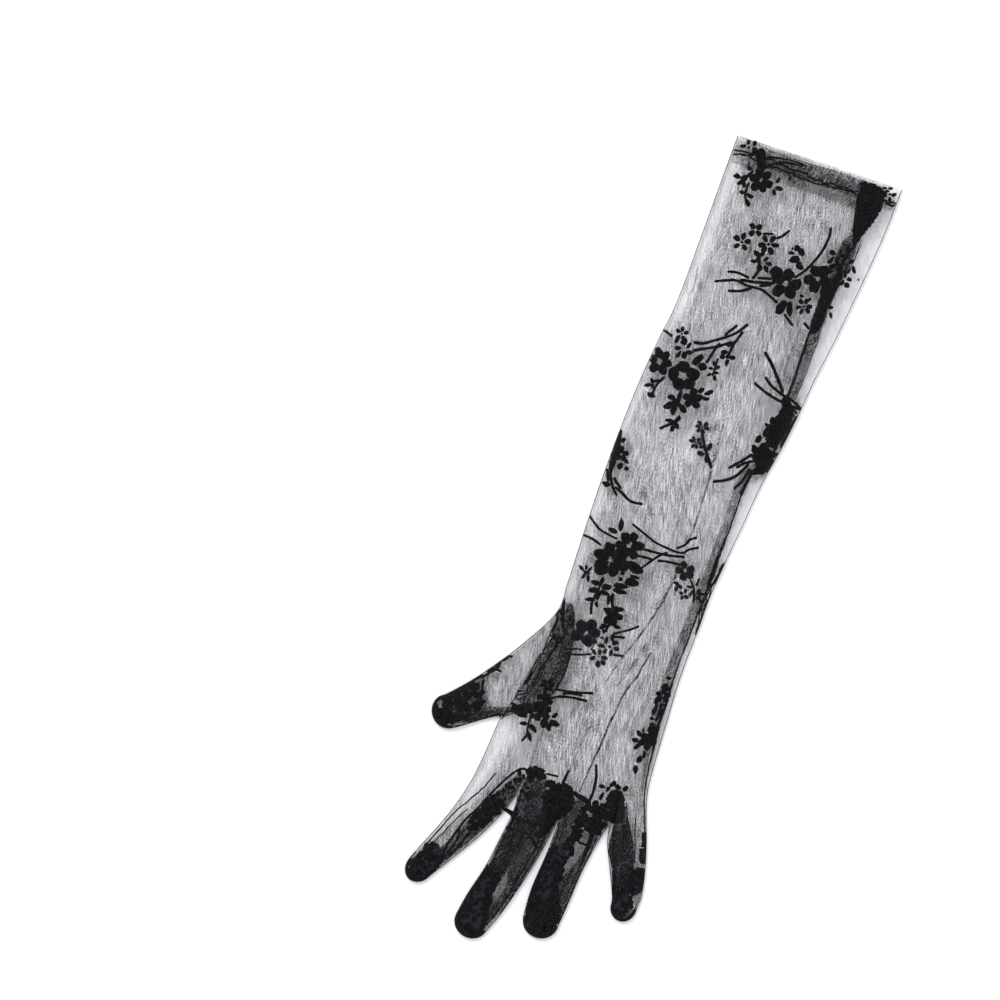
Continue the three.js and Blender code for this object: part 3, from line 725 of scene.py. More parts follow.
class Pile:
    """Gathers raised pads of pile in plan, and lays them on the net in the end."""

    def __init__(self, name, seed, spread=0.5):
        """spread is how much wider, in millimetres, the pile of a stem is than its printed line."""
        self.name, self.plan, self.lift, self.side, self.faces = name, [], [], [], []
        self.random = np.random.default_rng(seed)
        self.spread = spread

    def put(self, plan, lift, side):
        """Adds points in plan, at a height over the net, and gives the number of the first."""
        first = len(self.plan)
        self.plan += [tuple(p) for p in plan]
        self.lift += list(np.broadcast_to(lift, len(plan)))
        self.side += [side] * len(plan)
        return first

    def oval(self, x, y, turn, length, width, side=1, taper=0.0, swell=SWELL):
        """A petal or leaf round its middle; a taper above 0 narrows its outer end."""
        length, width = length * swell, width * swell
        count = FEW if length < SMALL else MANY
        a = np.arange(count) / count * 2 * math.pi
        rough = 1 + EDGE_JITTER * self.random.standard_normal(count)
        along = np.cos(a) * length / 2
        across = np.sin(a) * width / 2 * (1 - taper * np.cos(a))
        turn = math.radians(turn)
        reach = np.column_stack([along * math.cos(turn) - across * math.sin(turn),
                                 along * math.sin(turn) + across * math.cos(turn)]) * rough[:, None]
        middle = np.array([x, y])
        rings = [self.put(middle + reach * share, PILE * high, side) for share, high in DOME]
        top = self.put([middle, middle], [PILE, ROOT], side)
        flip = side < 0
        for i in range(count):
            j = (i + 1) % count
            quads = [(rings[0] + i, rings[0] + j, rings[1] + j, rings[1] + i),
                     (rings[1] + i, rings[1] + j, rings[2] + j, rings[2] + i),
                     (rings[2] + i, rings[2] + j, top), (rings[0] + j, rings[0] + i, top + 1)]
            self.faces += [q[::-1] if flip else q for q in quads]

    def strip(self, rows, side=1, width=None, pile=PILE):
        """A stem, or any long patch, along its spine's rows of x, y and width."""
        rows = np.array([(*r[:2], r[2] if width is None else width) for r in rows], float)
        rows[:, 2] += self.spread
        step = FINE_STEP if rows[:, 2].max() < NARROW else COARSE_STEP
        line = smooth(rows, step)
        run = np.gradient(line[:, :2], axis=0)
        run /= np.linalg.norm(run, axis=1)[:, None] + 1e-9
        across = np.column_stack([-run[:, 1], run[:, 0]])
        half = line[:, 2] / 2 * (1 + EDGE_JITTER * self.random.standard_normal(len(line)))
        ends = [line[0, :2] - run[0] * half[0] * END_REACH, line[-1, :2] + run[-1] * half[-1] * END_REACH]
        spine = np.vstack([ends[0], line[:, :2], ends[1]])
        across = np.vstack([across[0], across, across[-1]])
        half = np.hstack([half[0] * END_WIDTH, half, half[-1] * END_WIDTH])
        steps = max(2, 2 * round(rows[:, 2].max() / 3))
        top = np.linspace(-1, 1, steps + 3)
        high = pile * np.sqrt(1 - 0.999 * np.abs(top) ** 3)
        shares = np.hstack([top, top[-2:0:-1]])
        lifts = np.hstack([high, np.full(len(top) - 2, ROOT)])
        lifts[[0, len(top) - 1]] = 0
        rings = [self.put(p + np.outer(shares * h, c), lifts, side) for p, c, h in zip(spine, across, half)]
        count = len(shares)
        flip = side > 0
        made = [tuple(rings[0] + i for i in range(count)), tuple(rings[-1] + i for i in range(count))[::-1]]
        for low, after in zip(rings, rings[1:]):
            for i in range(count):
                j = (i + 1) % count
                made.append((low + i, after + i, after + j, low + j))
        self.faces += [q[::-1] if flip else q for q in made]

    def stems(self, rows, side=1):
        """Stems, each a width and then its points."""
        for width, *points in rows:
            self.strip(points, side, width=width)

    def crowd(self, rows, size, side=1, dense=1.0):
        """Overlapping petals and small leaves scattered over a spine's rows of x, y and width."""
        line = smooth(np.array(rows, float), 1.0)
        run = np.gradient(line[:, :2], axis=0)
        run /= np.linalg.norm(run, axis=1)[:, None]
        area = float(np.sum(line[:, 2]))
        for _ in range(int(area * dense / size ** 2 * CROWDED)):
            k = self.random.choice(len(line), p=line[:, 2] / area)
            off = self.random.uniform(-0.5, 0.5) * line[k, 2]
            x, y = line[k, :2] + off * np.array([-run[k, 1], run[k, 0]])
            long = size * self.random.uniform(*SIZES)
            self.oval(x, y, self.random.uniform(0, 360), long, long * self.random.uniform(0.6, 0.95), side)

    def patch(self, rows, petal=3.2, side=1, dense=0.9):
        """A long patch: a low ground of pile, with petals over it and along its edges, which scallop it."""
        self.strip(rows, side, pile=LOW_PILE)
        self.crowd(rows, petal, side, dense)
        line = smooth(np.array(rows, float), petal * 0.75)
        run = np.gradient(line[:, :2], axis=0)
        for (x, y, width), (dx, dy) in zip(line, run / np.linalg.norm(run, axis=1)[:, None]):
            for edge in (-0.5, 0.5):
                off = edge * width * self.random.uniform(0.8, 1.04)
                size = petal * self.random.uniform(*SIZES)
                self.oval(x - dy * off, y + dx * off, self.random.uniform(0, 360), size, size * 0.8, side)

    def flower(self, x, y, radius, turn=90, petals=5, side=1):
        """Round petals that meet about a small open middle."""
        for k in range(petals):
            way = math.radians(turn + 360 * k / petals + FLOWER_SWAY * self.random.standard_normal())
            size = radius * self.random.uniform(0.9, 1.02)
            at = radius * 0.6
            self.oval(x + at * math.cos(way), y + at * math.sin(way), math.degrees(way), size * 0.98,
                      size * 0.8 * min(1, 5.4 / petals), side, taper=-0.15, swell=1.0)

    def daisy(self, x, y, radius, turn=90, petals=6, side=1):
        """Loose oval petals round a dot."""
        self.oval(x, y, 0, radius * 0.3, radius * 0.3, side)
        for k in range(petals):
            way = math.radians(turn + 360 * k / petals + DAISY_SWAY * self.random.standard_normal())
            long = radius * self.random.uniform(0.72, 0.86)
            at = radius * 0.66
            self.oval(x + at * math.cos(way), y + at * math.sin(way), math.degrees(way), long * 1.06,
                      long * self.random.uniform(0.68, 0.82) * min(1, 5.6 / petals), side, taper=-0.15,
                      swell=1.0)

    def leaves(self, rows, side=1):
        """Leaves by middle, direction, length and width."""
        for x, y, turn, length, width in rows:
            self.oval(x, y, turn, length, width, side, taper=0.12)

    def piece(self, material):
        """Lays the pads on the net as one piece."""
        self.plan = [(x, min(y, HEM_Y - HEM_CLEAR)) for x, y in self.plan]
        depth, nearest = to_fold(self.plan)
        plan, side = np.array(self.plan), np.array(self.side, float)
        on = surface(plan, side)
        outward = np.where((depth < 0)[:, None], plan - nearest, nearest - plan)
        outward /= np.linalg.norm(outward, axis=1)[:, None] + 1e-9
        over = np.where(depth < 0, -side, side)
        steep = np.clip(FOLD_TURN - np.abs(depth), 0, FOLD_TURN) / FOLD_TURN
        normal = np.column_stack([outward * steep[:, None], over * (1 - FOLD_LEAN * steep)])
        normal /= np.linalg.norm(normal, axis=1)[:, None]
        mesh = bpy.data.meshes.new(self.name)
        mesh.from_pydata([tuple(p) for p in metres(on + normal * np.array(self.lift)[:, None])], [],
                         self.faces)
        mesh.shade_smooth()
        mesh.materials.append(material)
        high = mesh.attributes.new("pile", "FLOAT", "POINT")
        heights = [abs(min(lift / PILE, 1)) if lift >= 0 else 1.0 for lift in self.lift]
        high.data.foreach_set("value", heights)
        piece = bpy.data.objects.new(self.name, mesh)
        bpy.context.scene.collection.objects.link(piece)
        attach(piece, "root")
        return piece


# The sleeve's sprigs
# Black flock on the palm layer and, where the net shows them fainter, on the back layer (side -1), from
# the hem down to the wrist.
sleeve = Pile("sprigs_sleeve", 11)

# By the hem, on the thumb's side.
sleeve.flower(-9, 207.6, 6.6, 60, petals=6)
sleeve.leaves([
    (-17, 212, 20, 2.8, 2.2), (-22.5, 205.6, 185, 3.8, 2.5), (-19.6, 202.8, 235, 3.6, 2.4),
    (-17.2, 202.4, 280, 3.4, 2.1), (-18.4, 205.6, 200, 3.6, 3.2), (0, 210.6, 75, 3.1, 1.9),
    (2, 206.6, 8, 4.2, 2.5), (0, 203.7, 290, 3.4, 2.0), (-17, 198, 180, 2.8, 2.1),
    (-12, 197.4, -12, 4.2, 2.3), (-12, 193.2, -48, 4.2, 2.2),
])
sleeve.stems([
    (1.3, (-15, 211), (-17, 207.5), (-18.5, 205)),
    (0.9, (-15, 204), (-15, 198), (-13.6, 195), (-11.5, 192.5)),
])
sleeve.leaves([
    (-22.6, 225.2, 100, 2.4, 2), (-19, 225.6, 60, 2.4, 2), (-24.8, 222.6, 190, 3.2, 2),
    (-21.4, 222.8, 0, 1.4, 1.4), (-17.6, 222.2, 300, 3.2, 3), (-18.5, 219.8, 200, 3.4, 1.8),
    (-13.6, 222.4, 90, 4.8, 4.6),
])
sleeve.strip([(-13.5, 222, 4.6), (-12, 217, 4.4), (-10.5, 213, 2.6)])
sleeve.stems([
    (1.6, (-16.5, 222), (-14, 217), (-12, 214)),
    (1.1, (-9.5, 221.4), (-3, 223.3), (5, 224.9), (12, 224.2)),
    (1.0, (-3, 220.2), (2, 222), (10.5, 223.4)),
    (1.0, (-10, 214), (-7, 217.6), (-2, 220.2)),
])
sleeve.leaves([(6, 214, 80, 2.4, 1.6), (9, 212.6, 0, 1.6, 1)])

# The wide wedge of flock over the side seam at the hem, with small petals beside it.
sleeve.strip([(51.2, 222, 12), (52.4, 217, 14.4), (52.6, 210, 11.6), (52.2, 203, 7.6), (51.8, 197, 5),
              (51.6, 191, 2)])
sleeve.patch([(51, 223.4, 10.6), (52.2, 218, 14), (52.6, 211, 11), (52.2, 204, 7), (51.8, 198, 4)], 3.4,
             dense=0.5)
sleeve.leaves([
    (46.4, 225, 10, 3.6, 3), (49.2, 225.4, 0, 3.6, 3), (52.2, 225.6, 0, 3.6, 3), (54.8, 225.2, 0, 3.4, 3),
])
sleeve.strip([(44.4, 224.4), (46.4, 226)], width=2.6)
sleeve.strip([(47, 211, 2), (48, 206, 2.4), (49.6, 200, 1.6)])
sleeve.leaves([
    (57.8, 226.6, 0, 2.4, 1.5), (61, 226.8, 0, 2.4, 1.4), (59.7, 225, 20, 2.2, 1.5),
    (61.6, 223.7, 0, 1.4, 1.4), (64, 224.2, 30, 3, 1.8), (59.4, 222.8, 120, 2.6, 1.7),
    (62.5, 221.2, 100, 3, 1.9),
])

# Below the hem: two big flowers in a crowd of small ones, with stems to both sides.
sleeve.flower(-3, 180.4, 4.2, 60, 4)
sleeve.daisy(6.6, 175.2, 5.6, 75, 6)
sleeve.daisy(-8, 171.6, 5.1, 88, 5)
sleeve.stems([
    (1.0, (2, 180), (7, 181.4)),
    (1.1, (10, 180.2), (12, 181.6), (15, 186)),
])
sleeve.leaves([
    (1.8, 168.4, 150, 3.4, 2.6), (5, 168.8, 40, 3.2, 2.4), (1.6, 163.6, 180, 3.2, 2), (8, 167, 60, 3.2, 2),
    (10.4, 165, 8, 3.6, 2.1), (9.8, 161.8, -45, 3.8, 2.6), (6, 161.2, 280, 3.8, 3), (4, 165.6, 90, 4, 3),
])
sleeve.strip([(3, 168), (5.4, 163), (6.2, 160), (4.6, 154.6)], width=1.3)
sleeve.leaves([
    (22.6, 178.4, 0, 3.6, 3.4), (25.4, 177.2, -40, 4.4, 3.4), (20.2, 177.3, 0, 1.6, 1.2),
    (20.4, 174.8, 5, 3.2, 1.8), (23.4, 172.2, 20, 4.6, 3.6), (22, 170.8, 0, 3, 2),
    (27.2, 169.2, -35, 4.2, 3.4), (26.4, 171.2, 10, 2.4, 1.6),
])
sleeve.strip([(26.6, 162.6), (31, 168.5), (34, 175), (36.3, 182), (37.3, 190), (36.6, 195)], width=1.1)
sleeve.flower(22.8, 157.6, 8.6, 92)
sleeve.oval(16.4, 161.4, 160, 8.2, 6.4)
sleeve.flower(38.8, 165.8, 7.6, 60)
sleeve.oval(40.6, 171.6, 20, 8.5, 4.6)
sleeve.oval(45.4, 161.5, 90, 8, 6)
sleeve.leaves([
    (42, 182.4, 0, 3.4, 2.6), (42.4, 178, 70, 4.4, 2.1), (46, 178.6, 110, 4.6, 2), (48, 182.6, 20, 3.4, 2),
    (46, 184.5, 100, 2.4, 1.2), (44.4, 175.4, 30, 3.8, 2.2), (48.4, 174.8, 120, 4.2, 2),
    (56.4, 177.2, -50, 3.8, 1.9), (53.9, 176, 80, 3.8, 1.4), (55.6, 171.4, 5, 3, 2.2),
    (55.4, 167.8, -20, 3.2, 2.6), (52.5, 168.4, 80, 3.4, 1.8), (52.4, 173.4, 110, 4, 1.8),
    (60.8, 173.1, -20, 1.4, 1.2), (53.6, 181, 60, 2.8, 1.8),
])
sleeve.stems([
    (1.5, (48.8, 189), (50, 184), (49, 178), (50.4, 171)),
    (0.9, (52.4, 190), (50.6, 186), (50.4, 182)),
])
sleeve.strip([(50, 172, 3), (47.4, 164, 7), (46.6, 155, 6.6), (46.4, 148, 6), (46.4, 141, 6.4),
              (46, 137.6, 4)])
sleeve.daisy(36.6, 148.8, 4.6, 20, 6)
sleeve.leaves([
    (24.7, 144.3, 80, 7.6, 4.6), (29.4, 145, 108, 7.8, 3.3), (51, 153.2, 30, 2.6, 1.7),
    (52.4, 149, -60, 3.2, 1.6), (33.6, 154, 10, 2.6, 1.6), (38.2, 153.6, 60, 2.6, 1.6),
])
sleeve.stems([
    (1.1, (28, 141), (31, 138.8), (34, 136.8)),
    (1.2, (40, 140), (43, 138.2)),
    (1.1, (-9.6, 153.6), (-4, 154.7), (2, 154)),
    (1.2, (7, 155.6), (14, 157.4)),
    (1.3, (-1.5, 151.5), (5, 152.6), (11, 154), (16.4, 155.6)),
    (1.1, (9.4, 151.6), (15, 154)),
    (1.1, (-15, 146), (-8, 149), (-4, 150.3), (3, 149.6), (11, 150), (17, 148), (21.5, 146.2)),
    (1.2, (-6, 143.5), (0, 145.4), (5, 148.6)),
])

# The bunch at the thumb's side fold, above the elbow.
sleeve.daisy(-23, 112.2, 3.9, 100, 5)
sleeve.leaves([
    (-20.2, 108.6, 80, 4, 3.2), (-17, 107.4, 70, 4.2, 1.8), (-24.4, 108.4, 80, 4.4, 2.2),
    (-22.4, 104, 12, 3.4, 2.1), (-15.6, 103.6, 15, 4, 2.2), (-21, 100.6, 75, 4.4, 1.9),
    (-17.8, 101.4, 100, 3.6, 3), (-9.7, 101.6, 65, 7.4, 3.4), (-6, 98.6, 0, 4.6, 3.8),
])
sleeve.stems([
    (1.0, (-32.5, 111), (-30, 110.2), (-28, 109.4)),
    (1.2, (-15, 110), (-10, 111), (-4, 115), (1, 118.5), (6, 123), (10, 129)),
    (1.2, (0.2, 119.6), (2, 122.6), (4.6, 126.4)),
    (1.3, (-13.8, 105.5), (-8, 108.6), (-2, 111.8), (1, 114), (5.2, 116.8)),
    (1.2, (-1.4, 113.6), (-3, 108.6), (-4.6, 101.6)),
    (1.2, (8.8, 124), (6.4, 116), (5.6, 109)),
])
sleeve.leaves([
    (2.8, 110, 30, 3.6, 2.4), (2.7, 107.4, 200, 3, 2.4), (8.2, 108.8, 10, 3.2, 2.6),
    (6.1, 105.2, 270, 3.8, 2), (5.4, 108.4, 0, 2.6, 2.4), (-0.2, 102.2, 120, 3, 2), (2.2, 101, 60, 2.8, 1.8),
    (-1.4, 99.2, 190, 2.6, 1.6), (2.4, 97.8, 10, 2.8, 1.7), (-1, 95.6, 220, 2.6, 1.6),
    (2.4, 94.7, 300, 2.8, 1.9), (4.2, 115, 30, 3, 2),
])
sleeve.strip([(0.6, 105.4), (0.9, 99.6), (0.8, 96)], width=0.9)
sleeve.leaves([
    (-31.7, 98.4, 118, 5.4, 4.2), (-27.7, 97.6, 68, 5.6, 4.5), (-25.4, 93.8, 4, 5, 4.8),
    (-26.7, 89.8, -57, 5.6, 4.6), (-31.5, 89.4, 243, 5.6, 4.6), (-33.4, 94, 170, 4.6, 4.4),
])
sleeve.leaves([
    (-16.4, 94.9, 107, 6.2, 7.8), (-20.2, 89.6, 184, 5.4, 7), (-15.7, 85, 260, 5.8, 7.6),
    (-9.9, 87.2, -22, 6, 6), (-9.5, 92.6, 26, 6.6, 6.6),
])
sleeve.flower(-5.2, 79.6, 5.6, 30)
sleeve.oval(-5, 79.4, 20, 6, 5)
sleeve.leaves([
    (-2.4, 85.8, 60, 3.6, 2.6), (2.3, 86.2, 40, 5.2, 2.3), (1.6, 82.3, 8, 3.4, 2.1),
    (-16.8, 76.8, 185, 4.4, 3), (-17, 72, 220, 5.2, 3.6), (-13.4, 70.6, 270, 5.6, 3.3),
    (-9, 73, -35, 5.2, 3.2), (-12.8, 78.6, 95, 7.6, 2.2), (-13.2, 74.6, 0, 5, 4), (-9.4, 66.6, 80, 4, 2.4),
    (-13.6, 64, 180, 4.6, 2.2), (-8.8, 62.6, -55, 3.4, 2.4), (-10.8, 60.4, 270, 3.8, 2.1),
    (-10.4, 64.2, 0, 3, 2.8), (-30, 82, 130, 3, 2), (-31.6, 79, 205, 3.6, 1.9), (-29, 79.4, 280, 3, 1.6),
    (-28, 74.3, 0, 4.4, 2.9),
])
sleeve.stems([
    (1.3, (-10.4, 64), (-14, 61.2), (-17, 58.5)),
    (1.1, (-24.4, 86), (-27, 80.6), (-27.6, 75)),
    (1.0, (-26.6, 83.6), (-29.4, 81.8)),
])

# The crowded bunch on the seam at the elbow.
sleeve.stems([
    (1.5, (24.5, 117.5), (30, 112.6), (35, 107), (41, 100)),
    (1.3, (29.4, 104.2), (34, 101), (41, 98.4), (46, 97.4), (51, 95.8), (54, 94)),
    (1.2, (24.6, 99.4), (33, 96.2), (42, 94.3), (48, 93.8), (53.6, 94.2)),
    (4.5, (44, 96.5), (45, 94), (46, 91)),
    (1.1, (48, 93), (50.4, 92.2), (52.4, 91.4)),
])
sleeve.strip([(46.4, 93, 6), (47, 88, 9), (46.2, 82, 11), (44.6, 77, 11), (44.8, 72, 9.5)])
sleeve.strip([(53.2, 89, 1.8), (52.7, 82, 2.2), (51.8, 75, 2.4), (50.6, 71, 1.8)])
sleeve.leaves([
    (40.6, 83, 100, 3.6, 2.6), (38.6, 79.4, 150, 3, 2), (39, 75.4, 90, 5, 2), (36.6, 70.4, 80, 4.6, 3),
    (42.6, 70.6, 60, 4.4, 2.4), (47.6, 69, 80, 4.4, 1.8), (36, 65.4, 170, 3.6, 2.4), (50, 66, 20, 2.8, 1.8),
    (49.6, 60.4, -20, 3.2, 2.4),
])
sleeve.flower(40.6, 63.6, 5.6, 20)
sleeve.flower(45.4, 61, 6.2, 60)
sleeve.strip([(41.8, 68, 4), (42, 63.6, 11), (43.4, 58.6, 11), (43, 55, 7), (40, 51.5, 2)])
sleeve.stems([
    (1.3, (36, 61), (31, 55), (26.5, 50)),
    (1.2, (37.4, 57.5), (33.4, 55), (30.4, 51.6)),
    (1.4, (35.8, 55), (32, 47.6), (27, 43), (21, 40)),
    (1.1, (37.6, 53), (36, 46), (33, 40.4)),
    (1.3, (39.4, 53), (38.4, 45), (37.6, 38)),
])

# A small spray in the middle, on the back layer.
sleeve.daisy(5.2, 66.8, 3.9, 60, 6, side=-1)
sleeve.daisy(4.4, 57.6, 3.6, 70, 6, side=-1)
sleeve.strip([(5.6, 65), (7.6, 61), (10, 57), (12.6, 53.4), (17, 47.6)], -1, width=1.4)
sleeve.leaves([
    (12.7, 57.6, 80, 4.6, 2.3), (9.2, 52.7, 5, 4.2, 2.5), (13.2, 50.8, 290, 4, 2.1),
    (8.4, 56.4, 30, 2.6, 1.8),
], -1)

# A spray that goes round the thumb's side fold above the wrist.
sleeve.strip([(-37.4, 50, 1.4), (-37.3, 45, 3.2), (-36.8, 40, 3.8), (-36.2, 33, 3.4), (-35.8, 28, 2.2),
              (-34.6, 24, 1.3), (-31.4, 18.4, 1.2), (-28, 15, 1)])
sleeve.leaves([
    (-34.6, 45.4, 60, 2.8, 2.2), (-34.2, 41, -20, 2.8, 2), (-29, 34.7, -20, 2.8, 2.2),
    (-31.4, 31.2, 60, 3.6, 3), (-27.7, 31, 0, 2.6, 2.2), (-35.4, 19.2, 0, 3.8, 3),
])
sleeve.flower(-33, 37.6, 4, 30)
sleeve.strip([(-37.6, 27, 1), (-36.4, 24, 1.2), (-35, 21, 1)])
sleeve.stems([
    (1.2, (-32.4, 23.6), (-30, 21.6), (-27.4, 19.6)),
    (1.2, (-30, 19), (-25, 17), (-22, 15.2), (-18, 14.3), (-13.2, 15)),
])
sleeve_piece = sleeve.piece(FLOCK)

# The palm's sprigs
# Black flock again, on the net of the palm from the wrist to the roots of the fingers.
palm = Pile("sprigs_palm", 23, spread=0.2)

# The bunch over the wrist, two big flowers with leaves below and stems to both sides.
palm.stems([
    (1.2, (-38.2, -1), (-34, -4), (-30, -6.3), (-20, -8)),
    (1.4, (-38.2, -12), (-33, -12.4), (-27.6, -14)),
])
palm.leaves([(-20.3, 0, 100, 6.4, 2.7), (-23.6, -4.4, 172, 5.2, 2.6)])
palm.flower(-12.2, -9.4, 7.9, 75, petals=6)
palm.flower(-19.4, -20, 9.2, 115, petals=6)
palm.oval(-22.6, -26.4, 210, 8, 6.6)
palm.leaves([
    (-12.2, -21.4, 185, 7, 5), (-5.2, -20, -18, 9, 5.2), (-4.2, -28.2, 3, 7, 4.2), (-3.6, -24.9, 0, 4.8, 2),
    (-10.6, -25, 40, 2.4, 2), (-10.6, -28.7, 0, 2.4, 2.2), (-9.4, -32.2, 8, 7.6, 3),
    (-9, -35.2, 0, 7.4, 2.6), (-20.2, -33.2, 85, 5.4, 2.2), (-23.2, -35.2, 172, 4.6, 2.9),
    (-16.5, -35.4, 12, 5.4, 3.2), (-23.2, -39.3, 205, 4.6, 3), (-16.8, -38.8, 0, 5.2, 2.3),
    (-19.4, -41.4, 275, 5, 2.2), (-23.4, -45, 195, 4.4, 2.1), (-18.8, -46.2, 300, 3.2, 1.8),
])
palm.strip([(-20.2, -32), (-20.4, -39), (-21.4, -45), (-21, -49), (-20, -52)], width=1.5)
palm.leaves([
    (-33.4, -29.8, 150, 3.6, 1.7), (-30.9, -28.6, 100, 2.8, 1.5), (-28.6, -29, 70, 3.2, 1.5),
    (-30.6, -33.6, 260, 3.6, 1.6), (-28, -34, 290, 4.2, 1.7), (-29.8, -31.2, 0, 4, 1.6),
])
palm.stems([
    (1.2, (-14, 2.5), (-6, -0.3), (1, -2.8), (9, -3.8), (15, -4), (18, -3), (20, -0.6), (24.5, 2)),
    (1.4, (-3.8, -8.6), (5, -8), (12, -7), (18.6, -5.3)),
    (1.3, (-7.2, -13.2), (2, -12.4)),
    (1.3, (6, -12), (11, -10.8), (18, -10.2)),
    (1.3, (-1.6, -19), (2, -13.6), (6, -8.6), (9, -6.2)),
    (1.2, (13.4, -2), (17, 1), (18.6, 4.6), (21.8, 7)),
])

# Loops of flock over the side seam beside it.
palm.strip([(36.6, 1, 1.4), (37.2, -5, 2.4), (37.2, -11, 2.4), (36.8, -16, 1.4)])
palm.strip([(41.6, -1.4, 1), (41.4, -6, 1.6), (40.2, -12, 1.8), (38.6, -16, 1.4)])
palm.stems([
    (0.7, (36.4, -15), (37.6, -21), (39.4, -26), (38.4, -31)),
    (0.7, (38.4, -31), (39.8, -36), (40, -41), (39, -44)),
    (0.6, (39, -18), (39.8, -23), (38.2, -28), (37.4, -32)),
    (1.4, (33, -20), (34.4, -24), (36.4, -26.4)),
])

# Small things on the back layer beside it.
palm.flower(22.4, -12.4, 5.4, 50, side=-1)
palm.leaves([
    (20, -20.8, 160, 2.8, 2), (22.4, -21.6, -20, 3, 2), (21, -23.6, 270, 2.6, 1.9),
    (24.4, -25, 180, 2.4, 1.8), (27.6, -26, -20, 2.6, 1.8), (25.6, -27.2, 260, 2.4, 1.6),
    (26.2, -23, 80, 2.6, 1.6), (27.4, -20.2, 5, 3.6, 1.3), (29.6, -23.4, 80, 3.6, 1.3),
    (33, -20.6, 60, 2.6, 1.4), (35, -21.8, 10, 3.4, 1.6), (34, -24.4, 100, 2.6, 2),
], -1)
palm.stems([
    (1.1, (27, -16.6), (30, -20), (31.6, -24), (32.4, -27.6)),
    (1.1, (31.2, -14.4), (31, -18)),
], -1)

# Down the heel of the hand.
palm.strip([(-12, -38), (-10.8, -42.6), (-8.4, -47), (-8.2, -52), (-9.2, -59)], width=1.8)
palm.flower(-8, -49.4, 5.6, 10)
palm.oval(-8, -49.4, 45, 5.6, 5)
palm.leaves([
    (-13.3, -41.6, 280, 5.2, 2), (-5, -44.6, 25, 3.4, 2.4), (-13, -47.6, 160, 2.8, 2),
    (-4, -54.5, 0, 3.6, 2.2), (-11.4, -57, 230, 4.4, 2.6),
])
palm.leaves([
    (-22.4, -60.6, 140, 6.8, 5.8), (-17.6, -58.8, 75, 6.6, 5.6), (-14.3, -62, 20, 6, 5.2),
    (-16.7, -67.3, 300, 6.2, 5.6), (-22.9, -66.4, 215, 7, 5.8), (-12.8, -66.4, 330, 3, 2.4),
], -1)
palm.leaves([
    (-7.9, -73.8, 0, 1, 1), (-8.1, -71.1, 99, 3, 1.9), (-5.6, -69.7, 79, 3, 2),
    (-11.1, -72.2, -31, 2.9, 1.9), (-10.9, -75.6, 39, 3.1, 2), (-7, -77.7, 104, 3.4, 2.3),
    (-4.5, -76.2, -21, 3.2, 2.3), (-4.6, -73.3, 4, 3.3, 2.2), (-3.8, -66.5, 60, 1.8, 1.5),
    (-8.4, -67.5, 9, 3.9, 2), (-6.8, -63.4, 94, 3.9, 1.9), (-9.5, -63.1, 0, 1.6, 1.4),
    (0.1, -66.3, -1, 3.3, 2.1), (-2, -69.4, 99, 3.6, 1.9), (-1.7, -63.4, 29, 3.8, 2.4),
    (-4, -61.4, 110, 3.2, 1.9),
], -1)
palm.stems([
    (1.2, (7.4, -50.4), (3, -54), (-4.4, -58.8)),
    (1.2, (-12.2, -56), (-10.8, -58.4), (-9.7, -60.2)),
])
palm.stems([
    (1.2, (-4.6, -60.4), (-1, -59.8), (2, -59)),
    (1.1, (0, -70), (5, -69)),
    (0.4, (-12.2, -65.2), (-12.6, -68), (-13, -71.4)),
    (0.9, (-12.6, -73.8), (-17, -75.8), (-21.1, -77.1), (-26, -77.6)),
    (0.8, (-27, -76), (-23, -74.4), (-18.5, -73)),
], -1)

# At the thumb's seam: loose flock along the seam, a dark bunch and stems over the palm.
palm.stems([
    (1.3, (-37.4, -51.6), (-38.4, -54), (-38.2, -57.6), (-36.6, -61.4), (-36.8, -66), (-37.4, -69)),
    (1.5, (-36.4, -50.6), (-35.6, -54), (-34.4, -58), (-33.4, -62), (-32.4, -65)),
    (1.8, (-36.4, -57), (-34.8, -58.6), (-34.4, -61)),
    (1.2, (-36, -71.6), (-33, -70.6), (-30.4, -71.8), (-33, -74)),
    (1.0, (-33.4, -70.4), (-33.2, -77), (-35, -82)),
    (1.3, (-25, -98.6), (-15, -97), (-4.6, -94)),
    (1.2, (-20, -99.6), (-16, -98), (-10, -97.3)),
    (1.4, (-27, -105), (-21, -101.6), (-14, -100), (-6.4, -99.2)),
])
palm.flower(-30, -98, 3.9, 20, petals=6)
palm.strip([(-24.2, -78, 0.4), (-23.4, -84, 0.9), (-23.2, -89, 1), (-24, -94, 0.8), (-25, -98, 0.5)])
palm.strip([(-28, -103, 2), (-28.4, -107, 3.4), (-28.4, -112, 4), (-28.6, -117, 2)])
palm.leaves([
    (-31.4, -105.4, 200, 4.4, 2.8), (-25.8, -106.6, 10, 4, 2.8), (-32, -110, 190, 4.4, 3),
    (-30, -102.4, 120, 3, 2),
])
palm.flower(-28.4, -113, 5.6, 40)
palm.leaves([
    (-32.5, -70.4, 100, 2, 1.4), (-34.4, -72.2, 20, 2, 1.5), (-30.7, -70, 40, 2, 1.4),
    (-31, -72.5, 300, 1.9, 1.4), (-32.4, -73.9, 260, 2, 1.4), (-30.4, -58, 250, 3, 1.2),
    (-28.4, -62, 270, 3, 1.2),
])
palm.leaves([
    (-25, -118.6, 280, 5, 3.8), (-31, -116.6, 200, 5, 3), (-37, -117.4, 200, 3.4, 2.8),
    (-20.5, -112.6, 60, 3.8, 2.1), (-19.6, -117, 0, 5.6, 3.1), (-21.8, -119.8, 285, 4.2, 2.5),
    (-35.8, -122.6, 190, 3.8, 2.2), (-29.8, -123.4, -32, 5.2, 2.5), (-30.2, -128.4, -60, 4.8, 2.2),
])
